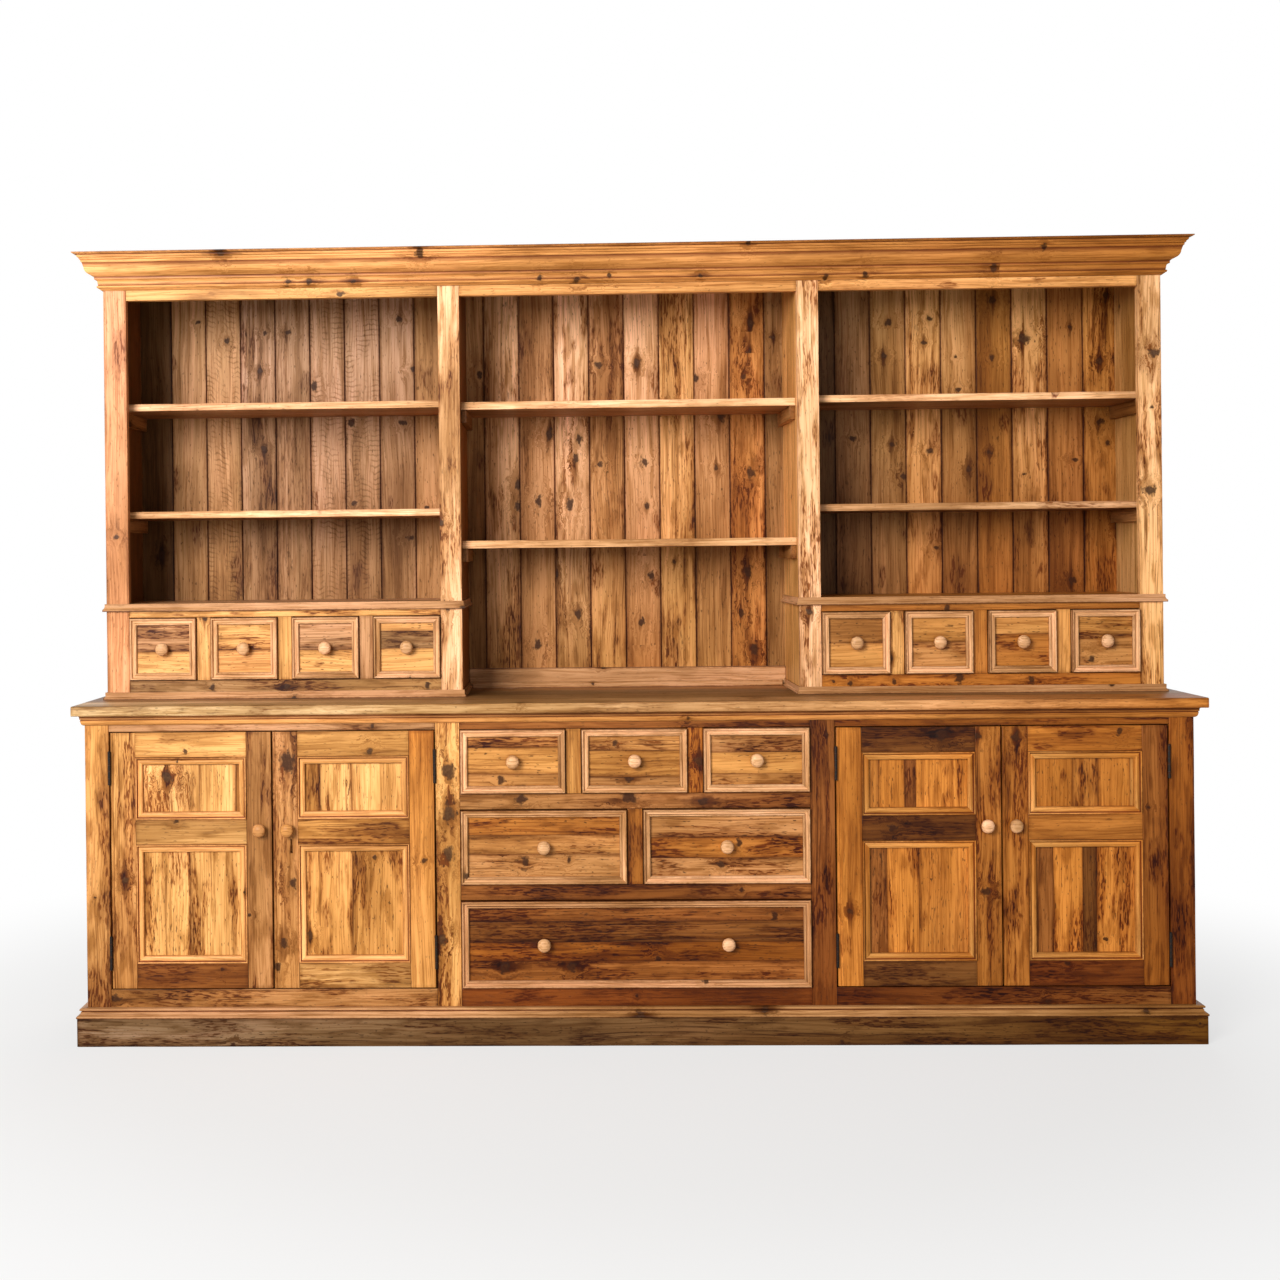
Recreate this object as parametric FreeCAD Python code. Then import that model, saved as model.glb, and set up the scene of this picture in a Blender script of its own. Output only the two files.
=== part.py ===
"""A wide pine hutch: a cupboard base with doors and drawers under an open shelf rack.

Millimetres. +X is to the right, +Y points away from the viewer and +Z is up.
The origin is on the floor, midway across the width and the depth.
"""
import FreeCAD, Part
import os

V = FreeCAD.Vector
X = V(1, 0, 0)
Y = V(0, 1, 0)
Z = V(0, 0, 1)

# Overall sizes
base_width = 2954.0
worktop_depth = 560.0
worktop_height = 914.0
overall_height = 2156.0
drawer_bay_width = 934.0

# Worktop
worktop_thickness = 27.0
worktop_side_overhang = 27.0
worktop_front_overhang = 38.0
worktop_board_count = 4
worktop_edge_radius = 4.0

# Plinth and its cap moulding
plinth_height = 75.0
plinth_board = 23.0
plinth_cap_height = 26.0
plinth_cap_projection = 25.0

# Boards of the two carcasses
carcass_board = 22.0
floor_board = 20.0
frame_thickness = 22.0
rack_end_setback = 14.0
back_board = 15.0
back_rebate = 11.0
back_board_count = 28
back_joint_gap = 1.2
tongue_length = 6.0
tongue_thickness = 5.0
tongue_clearance = 0.3
back_board_lift = 60.0

# Face frame of the base
base_stile_width = 65.0
base_top_rail_height = 45.0
base_bottom_rail_show = 47.0
base_bottom_rail_lap = 15.0
drawer_rail_height = 41.0
drawer_muntin_width = 40.0
top_row_height = 174.0
middle_row_height = 202.0
top_row_count = 3
middle_row_count = 2
bottom_row_count = 1

# Face frame of the shelf rack
upper_setback = 217.0
upper_end_stile_width = 64.0
upper_inner_stile_width = 60.0
upper_top_rail_height = 128.0
waist_rail_height = 39.0
foot_rail_height = 52.0
small_row_height = 176.0
small_row_count = 4
small_muntin_width = 38.0
rack_top_inset = 6.0

# Shelves
# Height shares run from the floor of the side bays, or of the cupboard, to the rail above it
side_shelf_thickness = 20.0
side_shelf_setback = 30.0
side_shelf_height_shares = (0.282, 0.641)
middle_shelf_thickness = 22.0
middle_shelf_setback = 40.0
middle_shelf_height_shares = (0.1712, 0.6305)
cupboard_shelf_thickness = 20.0
cupboard_shelf_setback = 60.0
cupboard_shelf_height_share = 0.464
cleat_width = 16.0
cleat_height = 37.0
cleat_setback = 4.0

# Mouldings planted on the outside
worktop_mould_height = 27.0
worktop_mould_projection = 13.0
waist_mould_height = 21.0
waist_mould_projection = 9.5
rack_mould_height = 20.0
rack_mould_projection = 9.5
cornice_height = 99.0
cornice_projection = 69.0
back_rail_height = 57.0
back_rail_thickness = 18.0
back_bead_height = 17.0
back_bead_projection = 9.0

# Doors
door_side_gap = 4.0
door_end_gap = 2.5
door_meeting_gap = 4.0
door_stop_clearance = 0.4
door_stop_lap = 12.0
door_stop_thickness = 12.0
door_stile_width = 67.0
door_rail_height = 67.0
door_upper_panel_height = 168.0
door_panel_thickness = 9.0
door_panel_setback = 9.0
door_mould_width = 21.0
door_mould_thickness = 12.0
door_knob_rise = 6.0
outer_knob_inset = 31.0
inner_knob_inset = 40.0

# Butt hinges
hinge_length = 89.0
hinge_leaf_depth = 19.0
hinge_leaf_thickness = 1.5
hinge_barrel_radius = 4.0
hinge_pin_radius = 2.0
hinge_pin_head = 1.5
hinge_pin_head_radius = 3.2
hinge_pin_clearance = 0.05
hinge_knuckle_count = 5
hinge_knuckle_gap = 0.3
hinge_face_gap = 0.4
hinge_end_distance = 51.0

# Drawers
drawer_gap = 2.0
drawer_front_thickness = 20.0
drawer_front_recess = 2.0
drawer_side_thickness = 12.0
drawer_side_headroom = 6.0
drawer_back_drop = 10.0
drawer_bottom_thickness = 7.0
drawer_bottom_lift = 10.0
drawer_groove_depth = 5.0
drawer_running_gap = 0.5
drawer_mould_width = 19.5
drawer_mould_thickness = 12.0
pair_knob_spacing = 490.0

# Drawer runners and stops
runner_width = 30.0
runner_thickness = 20.0
guide_width = 8.0
guide_height = 20.0
divider_thickness = 18.0
stop_depth = 15.0
stop_height = 18.0
stop_clearance = 0.4

# Turned knobs
knob_length = 32.0
knob_radius = 18.0

# Room beyond a piece for the cuts and mitres
overrun = 5.0

# Sections, as shares of the projection and of the height
# A pair is a straight run to that point, and four shares are an arc to the last pair through the first
plank_shares = [(0, 0), (1, 0), (1, 1), (0, 1)]
plinth_cap_shares = [
    (0, 0), (0.95, 0), (1, 0.12, 0.92, 0.26), (0.84, 0.28), (0.66, 0.38, 0.6, 0.62),
    (0.52, 0.66), (0.52, 0.74), (0.62, 0.76), (0.7, 0.88, 0.6, 1), (0, 1)]
worktop_mould_shares = [
    (0, 0), (0.08, 0), (0.42, 0.08, 0.62, 0.24), (0.76, 0.5), (0.68, 0.54), (0.68, 0.6),
    (0.84, 0.62), (0.88, 0.86), (0.96, 0.9), (1, 1), (0, 1)]
waist_mould_shares = [(0, 0), (1, 0), (1, 0.26), (0.68, 0.4, 0.45, 0.66), (0.45, 1), (0, 1)]
rack_mould_shares = [(0, 0), (1, 0), (1, 0.26), (0.62, 0.36, 0.5, 0.64), (0.5, 1), (0, 1)]
back_bead_shares = [(0, 0), (1, 0), (1, 0.3), (0.9, 0.75, 0.3, 1), (0, 1)]
cornice_shares = [
    (0, 0), (0.04, 0), (0.16, 0.06), (0.2, 0.1, 0.15, 0.13), (0.17, 0.2), (0.2, 0.27, 0.28, 0.3),
    (0.28, 0.36), (0.33, 0.39), (0.5, 0.45), (0.565, 0.5, 0.61, 0.6), (0.665, 0.73),
    (0.705, 0.755, 0.7, 0.8), (0.755, 0.82, 0.755, 0.86), (0.82, 0.875, 0.83, 0.92),
    (0.83, 0.94), (0.94, 0.95), (1, 0.975), (1, 1), (0, 1)]
drawer_mould_shares = [
    (0, 0), (0, 0.94), (0.04, 1), (0.22, 1), (0.27, 0.9), (0.28, 0.66), (0.45, 0.4, 0.68, 0.56),
    (0.72, 0.72), (0.82, 0.8, 0.93, 0.7), (0.97, 0.3), (1, 0)]
knob_shares = [
    (0, 0), (0.66, 0), (0.53, 0.1, 0.5, 0.25), (0.72, 0.37, 0.96, 0.5), (1, 0.66, 0.86, 0.82),
    (0.54, 0.95, 0.14, 1), (0, 1)]
door_mould_shares = [
    (0, 0), (0, 0.92), (0.03, 1), (0.17, 1), (0.2, 0.94), (0.21, 0.62), (0.32, 0.6),
    (0.55, 0.86, 0.78, 0.8), (0.9, 0.74), (0.94, 0.3), (1, 0)]

# Places that follow from the sizes
front_y = -worktop_depth / 2
back_y = worktop_depth / 2
back_face_y = back_y - back_board
base_face_y = front_y + worktop_front_overhang
base_inner_y = base_face_y + frame_thickness
upper_face_y = front_y + upper_setback
upper_inner_y = upper_face_y + frame_thickness
worktop_underside = worktop_height - worktop_thickness
rack_top = overall_height - rack_top_inset
base_half = base_width / 2
upper_half = base_half - rack_end_setback
bay_half = drawer_bay_width / 2
partition_outer = bay_half + carcass_board
door_bay_inner = bay_half + base_stile_width
door_bay_outer = base_half - base_stile_width
rack_bay_inner = bay_half + upper_inner_stile_width
rack_bay_outer = upper_half - upper_end_stile_width
base_opening_bottom = plinth_height + plinth_cap_height + base_bottom_rail_show
base_opening_top = worktop_underside - base_top_rail_height
bottom_rail_foot = plinth_height - base_bottom_rail_lap
small_row_bottom = worktop_height + foot_rail_height
small_row_top = small_row_bottom + small_row_height
bay_floor_top = small_row_top + waist_rail_height
upper_rail_bottom = overall_height - upper_top_rail_height
side_bay_height = upper_rail_bottom - bay_floor_top
side_shelf_undersides = [bay_floor_top + share * side_bay_height for share in side_shelf_height_shares]
middle_shelf_undersides = [bay_floor_top + share * side_bay_height for share in middle_shelf_height_shares]
cupboard_shelf_underside = (
    base_opening_bottom + cupboard_shelf_height_share * (base_opening_top - base_opening_bottom))
middle_row_top = base_opening_top - top_row_height - drawer_rail_height
bottom_row_top = middle_row_top - middle_row_height - drawer_rail_height
door_thickness = frame_thickness - door_stop_clearance
door_bottom = base_opening_bottom + door_end_gap
door_top = base_opening_top - door_end_gap
door_middle_rail_top = door_top - door_rail_height - door_upper_panel_height
door_knob_height = door_middle_rail_top - door_rail_height / 2 + door_knob_rise
hinge_axis_y = base_face_y - hinge_barrel_radius - hinge_face_gap


def box(x0, x1, y0, y1, z0, z1):
    """Board between three pairs of places."""
    low = V(min(x0, x1), min(y0, y1), min(z0, z1))
    return Part.makeBox(abs(x1 - x0), abs(y1 - y0), abs(z1 - z0), low)


def upright_cylinder(radius, x, y, z0, z1):
    return Part.makeCylinder(radius, z1 - z0, V(x, y, z0), Z)


def outline(points, place):
    """Closed wire through points of a section, set in space by the function place."""
    first = place(*points[0])
    last = first
    edges = []
    for point in points[1:]:
        end = place(*point[-2:])
        if len(point) == 4:
            edges.append(Part.Arc(last, place(*point[:2]), end).toShape())
        else:
            edges.append(Part.LineSegment(last, end).toShape())
        last = end
    edges.append(Part.LineSegment(last, first).toShape())
    return Part.Wire(edges)


def moulding(start, along, out, up, length, projection, height, shares, mitres):
    """Straight length of moulding. A mitre of 1 flares outwards, -1 inwards and 0 is square."""
    reach = projection + overrun

    def place(out_share, up_share):
        return start - along * reach + out * (out_share * projection) + up * (up_share * height)

    bar = Part.Face(outline(shares, place)).extrude(along * (length + 2 * reach))
    corners = []
    for depth, side in ((-overrun, 0), (reach, 0), (reach, 1), (-overrun, 1)):
        travel = length + mitres[1] * depth if side else -mitres[0] * depth
        corners.append(start + along * travel + out * depth - up * overrun)
    room = Part.Face(Part.makePolygon(corners + corners[:1])).extrude(up * (height + 2 * overrun))
    return bar.common(room).Solids[0]


def moulding_frame(x0, x1, z0, z1, field_y, width, thickness, shares):
    """Four mitred strips laid flat round the edge of a panel that faces the viewer."""
    across = x1 - x0
    tall = z1 - z0
    low_left = V(x0, field_y, z0)
    strips = [
        (low_left, X, Z, across), (V(x0, field_y, z1), X, -Z, across),
        (low_left, Z, X, tall), (V(x1, field_y, z0), Z, -X, tall)]
    return [
        moulding(start, along, inward, -Y, length, width, thickness, shares, (-1, -1))
        for start, along, inward, length in strips]


def wrap_moulding(half, face_y, end_y, z0, projection, height, shares):
    """Front length and two returns round the outside of a carcass, mitred at the corners."""
    depth = end_y - face_y
    front = moulding(V(-half, face_y, z0), X, -Y, Z, 2 * half, projection, height, shares, (1, 1))
    left = moulding(V(-half, face_y, z0), Y, -X, Z, depth, projection, height, shares, (1, 0))
    right = moulding(V(half, face_y, z0), Y, X, Z, depth, projection, height, shares, (1, 0))
    return [front, left, right]


def knob(x, y, z):
    """Turned knob whose foot stands on the surface at y and whose nose points at the viewer."""
    def place(radius_share, length_share):
        return V(x + radius_share * knob_radius, y - length_share * knob_length, z)

    section = outline(knob_shares, place)
    return Part.Face(section).revolve(V(x, y, z), Y, 360)


def build_plinth():
    boards = wrap_moulding(base_half, base_face_y, back_y, 0, plinth_board, plinth_height, plank_shares)
    cap = wrap_moulding(
        base_half, base_face_y, back_y, plinth_height,
        plinth_cap_projection, plinth_cap_height, plinth_cap_shares)
    return boards + cap


def spread(x0, x1, count, muntin):
    """Equal openings between two places with muntins between them."""
    width = (x1 - x0 - muntin * (count - 1)) / count
    return [(x0 + i * (width + muntin), x0 + i * (width + muntin) + width) for i in range(count)]


def muntins(openings, y0, y1, z0, z1):
    pairs = zip(openings, openings[1:])
    return [box(left[1], right[0], y0, y1, z0, z1) for left, right in pairs]


drawer_rows = [
    ("top_drawer", spread(-bay_half, bay_half, top_row_count, drawer_muntin_width),
     base_opening_top - top_row_height, base_opening_top),
    ("middle_drawer", spread(-bay_half, bay_half, middle_row_count, drawer_muntin_width),
     middle_row_top - middle_row_height, middle_row_top),
    ("bottom_drawer", spread(-bay_half, bay_half, bottom_row_count, drawer_muntin_width),
     base_opening_bottom, bottom_row_top)]
small_rows = [
    ("small_drawer_left", spread(-rack_bay_outer, -rack_bay_inner, small_row_count, small_muntin_width)),
    ("small_drawer_right", spread(rack_bay_inner, rack_bay_outer, small_row_count, small_muntin_width))]


def build_base_face_frame():
    pieces = []
    for side in (-1, 1):
        for inner, outer in ((bay_half, door_bay_inner), (door_bay_outer, base_half)):
            pieces.append(box(side * inner, side * outer, base_face_y, base_inner_y, 0, worktop_underside))
    bays = [(-door_bay_outer, -door_bay_inner), (-bay_half, bay_half), (door_bay_inner, door_bay_outer)]
    for x0, x1 in bays:
        pieces.append(box(x0, x1, base_face_y, base_inner_y, base_opening_top, worktop_underside))
        pieces.append(box(x0, x1, base_face_y, base_inner_y, bottom_rail_foot, base_opening_bottom))
    for low in (middle_row_top, bottom_row_top):
        pieces.append(box(-bay_half, bay_half, base_face_y, base_inner_y, low, low + drawer_rail_height))
    for _, openings, z0, z1 in drawer_rows:
        pieces += muntins(openings, base_face_y, base_inner_y, z0, z1)
    return pieces


def rebated_end(side, half, y0, z0, z1):
    """End board of a carcass with a rebate that takes the back boards."""
    inner = half - carcass_board
    board = box(side * inner, side * half, y0, back_y, z0, z1)
    rebate = box(
        side * (inner - overrun), side * (inner + back_rebate),
        back_face_y, back_y + overrun, z0 - overrun, z1 + overrun)
    return board.cut(rebate).Solids[0]


def build_base_uprights():
    pieces = []
    for side in (-1, 1):
        pieces.append(rebated_end(side, base_half, base_inner_y, 0, worktop_underside))
        pieces.append(box(
            side * bay_half, side * partition_outer, base_inner_y, back_face_y, 0, worktop_underside))
    return pieces


def build_base_floors_and_shelves():
    floor_z = base_opening_bottom - floor_board
    pieces = [box(-bay_half, bay_half, base_inner_y, back_face_y, floor_z, base_opening_bottom)]
    for side in (-1, 1):
        inner = side * partition_outer
        outer = side * (base_half - carcass_board)
        pieces.append(box(inner, outer, base_inner_y, back_face_y, floor_z, base_opening_bottom))
        pieces.append(box(
            inner, outer, base_inner_y + cupboard_shelf_setback, back_face_y,
            cupboard_shelf_underside, cupboard_shelf_underside + cupboard_shelf_thickness))
    return pieces


def build_back_boards(half, z0, z1):
    """Tongued and grooved boards that fill the space between the two rebates."""
    x0 = -half + carcass_board - back_rebate
    pitch = -2 * x0 / back_board_count
    middle_y = back_face_y + back_board / 2
    groove_half = tongue_thickness / 2 + tongue_clearance
    pieces = []
    for i in range(back_board_count):
        left = x0 + i * pitch
        last = i == back_board_count - 1
        right = left + pitch - (0 if last else back_joint_gap)
        board = box(left, right, back_face_y, back_y, z0, z1)
        if not last:
            board = board.fuse(box(
                right, right + tongue_length,
                middle_y - tongue_thickness / 2, middle_y + tongue_thickness / 2, z0, z1))
        if i:
            groove_end = left + tongue_length - back_joint_gap + tongue_clearance
            board = board.cut(box(
                left - overrun, groove_end, middle_y - groove_half, middle_y + groove_half,
                z0 - overrun, z1 + overrun))
        pieces.append(board.removeSplitter().Solids[0])
    return pieces


def build_drawer_runners():
    """Runners under the drawers, guides beside them, stops behind them and kickers above."""
    pieces = []
    stop_y = back_face_y - stop_depth
    for _, openings, z0, z1 in drawer_rows:
        spans = []
        for left, right in zip(openings, openings[1:]):
            spans.append((left[1] - runner_width, right[0] + runner_width))
            pieces.append(box(left[1], right[0], base_inner_y, back_face_y, z0, z0 + guide_height))
        spans.append((-bay_half, -bay_half + runner_width))
        spans.append((bay_half - runner_width, bay_half))
        if z0 > base_opening_bottom:
            pieces += [box(a, b, base_inner_y, back_face_y, z0 - runner_thickness, z0) for a, b in spans]
        if z1 == base_opening_top:
            pieces += [box(a, b, base_inner_y, back_face_y, z1, z1 + runner_thickness) for a, b in spans]
        for x0, x1 in openings:
            for low, high in ((x0, x0 + runner_width), (x1 - runner_width, x1)):
                pieces.append(box(low, high, stop_y, back_face_y, z0, z0 + stop_height))
    for _, openings in small_rows:
        for left, right in zip(openings, openings[1:]):
            middle = (left[1] + right[0]) / 2
            pieces.append(box(
                middle - divider_thickness / 2, middle + divider_thickness / 2,
                upper_inner_y, back_face_y, small_row_bottom, bay_floor_top - floor_board))
        for x0, x1 in openings:
            low = small_row_bottom
            pieces.append(box(x0 - guide_width, x0, upper_inner_y, back_face_y, low, low + guide_height))
            pieces.append(box(x1, x1 + guide_width, upper_inner_y, back_face_y, low, low + guide_height))
            pieces.append(box(x0, x1, stop_y, back_face_y, low, low + stop_height))
    return pieces


def build_worktop():
    """Boards laid side by side, the front one with softened edges."""
    half = base_half + worktop_side_overhang
    pitch = worktop_depth / worktop_board_count
    pieces = []
    for i in range(worktop_board_count):
        y0 = front_y + i * pitch
        pieces.append(box(-half, half, y0, y0 + pitch, worktop_underside, worktop_height))
    front_edges = [
        edge for edge in pieces[0].Edges
        if edge.BoundBox.YMax < front_y + worktop_edge_radius / 2 and edge.BoundBox.XLength > half]
    pieces[0] = pieces[0].makeFillet(worktop_edge_radius, front_edges).Solids[0]
    return pieces


def build_worktop_moulding():
    return wrap_moulding(
        base_half, base_face_y, back_y, worktop_underside - worktop_mould_height,
        worktop_mould_projection, worktop_mould_height, worktop_mould_shares)


def build_upper_face_frame():
    pieces = []
    for side in (-1, 1):
        for inner, outer in ((bay_half, rack_bay_inner), (rack_bay_outer, upper_half)):
            pieces.append(box(
                side * inner, side * outer, upper_face_y, upper_inner_y, worktop_height, rack_top))
        a = side * rack_bay_inner
        b = side * rack_bay_outer
        for z0, z1 in (
                (upper_rail_bottom, rack_top), (small_row_top, bay_floor_top),
                (worktop_height, small_row_bottom)):
            pieces.append(box(a, b, upper_face_y, upper_inner_y, z0, z1))
    pieces.append(box(-bay_half, bay_half, upper_face_y, upper_inner_y, upper_rail_bottom, rack_top))
    for _, openings in small_rows:
        pieces += muntins(openings, upper_face_y, upper_inner_y, small_row_bottom, small_row_top)
    return pieces


def build_upper_uprights():
    pieces = []
    for side in (-1, 1):
        pieces.append(rebated_end(side, upper_half, upper_inner_y, worktop_height, rack_top))
        pieces.append(box(
            side * bay_half, side * partition_outer, upper_inner_y, back_face_y, worktop_height, rack_top))
    return pieces


def build_upper_shelves():
    """Shelves, the floors above and below the small drawers, and the top boards."""
    pieces = []
    inner_end = upper_half - carcass_board
    shelf_y = upper_inner_y + side_shelf_setback
    for side in (-1, 1):
        a = side * partition_outer
        b = side * inner_end
        for z1 in (small_row_bottom, bay_floor_top, rack_top):
            pieces.append(box(a, b, upper_inner_y, back_face_y, z1 - floor_board, z1))
        for z0 in side_shelf_undersides:
            pieces.append(box(a, b, shelf_y, back_face_y, z0, z0 + side_shelf_thickness))
    middle_y = upper_face_y + middle_shelf_setback
    for z0 in middle_shelf_undersides:
        pieces.append(box(-bay_half, bay_half, middle_y, back_face_y, z0, z0 + middle_shelf_thickness))
    pieces.append(box(-bay_half, bay_half, upper_inner_y, back_face_y, rack_top - floor_board, rack_top))
    return pieces


def cleat_pair(x0, x1, y0, z1):
    """Two cleats on the side walls that carry the ends of one shelf."""
    return [
        box(x0, x0 + cleat_width, y0 + cleat_setback, back_face_y, z1 - cleat_height, z1),
        box(x1 - cleat_width, x1, y0 + cleat_setback, back_face_y, z1 - cleat_height, z1)]


def build_cleats_and_stops():
    pieces = []
    inner_end = upper_half - carcass_board
    cupboard_end = base_half - carcass_board
    shelf_y = upper_inner_y + side_shelf_setback
    cupboard_y = base_inner_y + cupboard_shelf_setback
    for z0 in middle_shelf_undersides:
        pieces += cleat_pair(-bay_half, bay_half, upper_face_y + middle_shelf_setback, z0)
    for a, b in ((-inner_end, -partition_outer), (partition_outer, inner_end)):
        for z0 in side_shelf_undersides:
            pieces += cleat_pair(a, b, shelf_y, z0)
    for a, b in ((-cupboard_end, -partition_outer), (partition_outer, cupboard_end)):
        pieces += cleat_pair(a, b, cupboard_y, cupboard_shelf_underside)
        pieces.append(box(
            a, b, base_inner_y, base_inner_y + door_stop_thickness,
            base_opening_top - door_stop_lap, worktop_underside))
    return pieces


def build_cornice():
    return wrap_moulding(
        upper_half, upper_face_y, back_y, overall_height - cornice_height,
        cornice_projection, cornice_height, cornice_shares)


def build_upper_mouldings():
    """Mouldings at the waist and the foot of the rack, and the rail behind the middle bay."""
    rail_y = back_face_y - back_rail_thickness
    bands = [
        (bay_floor_top - waist_mould_height, waist_mould_projection, waist_mould_height,
         waist_mould_shares, back_face_y, 0),
        (worktop_height, rack_mould_projection, rack_mould_height, rack_mould_shares, rail_y, -1)]
    pieces = []
    for z0, projection, height, shares, inner_end_y, inner_mitre in bands:
        for side in (-1, 1):
            outer = V(side * upper_half, upper_face_y, z0)
            inner = V(side * bay_half, upper_face_y, z0)
            front_start = V(min(outer.x, inner.x), upper_face_y, z0)
            pieces.append(moulding(
                front_start, X, -Y, Z, upper_half - bay_half, projection, height, shares, (1, 1)))
            pieces.append(moulding(
                outer, Y, X * side, Z, back_y - upper_face_y, projection, height, shares, (1, 0)))
            pieces.append(moulding(
                inner, Y, -X * side, Z, inner_end_y - upper_face_y, projection, height, shares,
                (1, inner_mitre)))
    pieces.append(box(
        -bay_half, bay_half, rail_y, back_face_y, worktop_height, worktop_height + back_rail_height))
    bead_half = bay_half - rack_mould_projection
    pieces.append(moulding(
        V(-bead_half, rail_y, worktop_height), X, -Y, Z, 2 * bead_half,
        back_bead_projection, back_bead_height, back_bead_shares, (0, 0)))
    return pieces


def knuckle_spans():
    """Heights of the knuckles above the foot of a hinge."""
    pitch = hinge_length / hinge_knuckle_count
    return [
        (i * pitch + hinge_knuckle_gap / 2, (i + 1) * pitch - hinge_knuckle_gap / 2)
        for i in range(hinge_knuckle_count)]


def hinge_leaf(axis_x, foot_z, side, first, bore):
    """One leaf with its knuckles. Side is the way from the pin to the wood that carries the leaf."""
    outer = door_side_gap / 2
    x0 = axis_x + side * (outer - hinge_leaf_thickness)
    x1 = axis_x + side * outer
    leaf = box(x0, x1, base_face_y, base_face_y + hinge_leaf_depth, foot_z, foot_z + hinge_length)
    for i, (z0, z1) in enumerate(knuckle_spans()):
        if i % 2 == first:
            tab = box(x0, x1, hinge_axis_y, base_face_y + hinge_face_gap, foot_z + z0, foot_z + z1)
            barrel = upright_cylinder(hinge_barrel_radius, axis_x, hinge_axis_y, foot_z + z0, foot_z + z1)
            leaf = leaf.fuse([tab, barrel])
    hole = upright_cylinder(
        bore, axis_x, hinge_axis_y, foot_z - overrun, foot_z + hinge_length + overrun)
    return leaf.cut(hole).removeSplitter().Solids[0]


def hinge_pin(axis_x, foot_z):
    top_z = foot_z + hinge_length
    shaft = upright_cylinder(hinge_pin_radius, axis_x, hinge_axis_y, foot_z, top_z)
    head = upright_cylinder(
        hinge_pin_head_radius, axis_x, hinge_axis_y, top_z, top_z + hinge_pin_head)
    return shaft.fuse(head).removeSplitter().Solids[0]


# Doors: name, pinned edge of the opening, way from that edge into the door, knob inset
doors = [
    ("door_1", -door_bay_outer, 1, outer_knob_inset),
    ("door_2", -door_bay_inner, -1, inner_knob_inset),
    ("door_3", door_bay_inner, 1, inner_knob_inset),
    ("door_4", door_bay_outer, -1, outer_knob_inset)]
hinge_feet = (door_bottom + hinge_end_distance, door_top - hinge_end_distance - hinge_length)


def build_hinge_frame_leaves():
    pieces = []
    for _, edge, way, _ in doors:
        axis_x = edge + way * door_side_gap / 2
        for foot_z in hinge_feet:
            pieces.append(hinge_leaf(axis_x, foot_z, -way, 0, hinge_pin_radius))
            pieces.append(hinge_pin(axis_x, foot_z))
    return pieces


def build_door(edge, way, knob_inset):
    """Door nodes: the frame, the panels with their mouldings, the knob and the hinge leaves."""
    hung = edge + way * door_side_gap
    width = (door_bay_outer - door_bay_inner) / 2 - door_side_gap - door_meeting_gap / 2
    free = hung + way * width
    left = min(hung, free)
    right = max(hung, free)
    y0 = base_face_y
    y1 = base_face_y + door_thickness
    inner_left = left + door_stile_width
    inner_right = right - door_stile_width
    upper_z1 = door_top - door_rail_height
    upper_z0 = door_middle_rail_top
    lower_z1 = upper_z0 - door_rail_height
    lower_z0 = door_bottom + door_rail_height
    frame = [
        box(left, inner_left, y0, y1, door_bottom, door_top),
        box(inner_right, right, y0, y1, door_bottom, door_top)]
    for z0, z1 in ((door_bottom, lower_z0), (lower_z1, upper_z0), (upper_z1, door_top)):
        frame.append(box(inner_left, inner_right, y0, y1, z0, z1))
    panels = []
    field_y = y0 + door_panel_setback
    for z0, z1 in ((lower_z0, lower_z1), (upper_z0, upper_z1)):
        panels.append(box(inner_left, inner_right, field_y, field_y + door_panel_thickness, z0, z1))
        panels += moulding_frame(
            inner_left, inner_right, z0, z1, field_y,
            door_mould_width, door_mould_thickness, door_mould_shares)
    axis_x = edge + way * door_side_gap / 2
    leaves = [
        hinge_leaf(axis_x, foot_z, way, 1, hinge_pin_radius + hinge_pin_clearance)
        for foot_z in hinge_feet]
    return {
        "frame": frame, "panels": panels, "hinge_leaves": leaves,
        "knob": [knob(free - way * knob_inset, y0, door_knob_height)]}


def build_drawer(x0, x1, z0, z1, face_y, knob_xs):
    """Drawer nodes: the moulded front with its knobs, and the box behind it."""
    left = x0 + drawer_gap
    right = x1 - drawer_gap
    low = z0 + drawer_gap
    high = z1 - drawer_gap
    field_y = face_y + drawer_front_recess
    rear_y = field_y + drawer_front_thickness
    end_y = back_face_y - stop_depth - stop_clearance
    groove_left = left + drawer_side_thickness - drawer_groove_depth
    groove_right = right - drawer_side_thickness + drawer_groove_depth
    side_low = z0 + drawer_running_gap
    side_high = z1 - drawer_side_headroom
    bottom_low = z0 + drawer_bottom_lift
    bottom_high = bottom_low + drawer_bottom_thickness
    bottom = box(groove_left, groove_right, rear_y - drawer_groove_depth, end_y, bottom_low, bottom_high)
    inner_left = left + drawer_side_thickness
    inner_right = right - drawer_side_thickness
    front = [box(left, right, field_y, rear_y, low, high).cut(bottom).Solids[0]]
    front += moulding_frame(
        left, right, low, high, field_y,
        drawer_mould_width, drawer_mould_thickness, drawer_mould_shares)
    front += [knob(x, field_y, (z0 + z1) / 2) for x in knob_xs]
    body = [
        box(left, inner_left, rear_y, end_y, side_low, side_high).cut(bottom).Solids[0],
        box(inner_right, right, rear_y, end_y, side_low, side_high).cut(bottom).Solids[0],
        box(
            inner_left, inner_right, end_y - drawer_side_thickness, end_y,
            bottom_high, side_high - drawer_back_drop),
        bottom]
    return {"front": front, "box": body}


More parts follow.
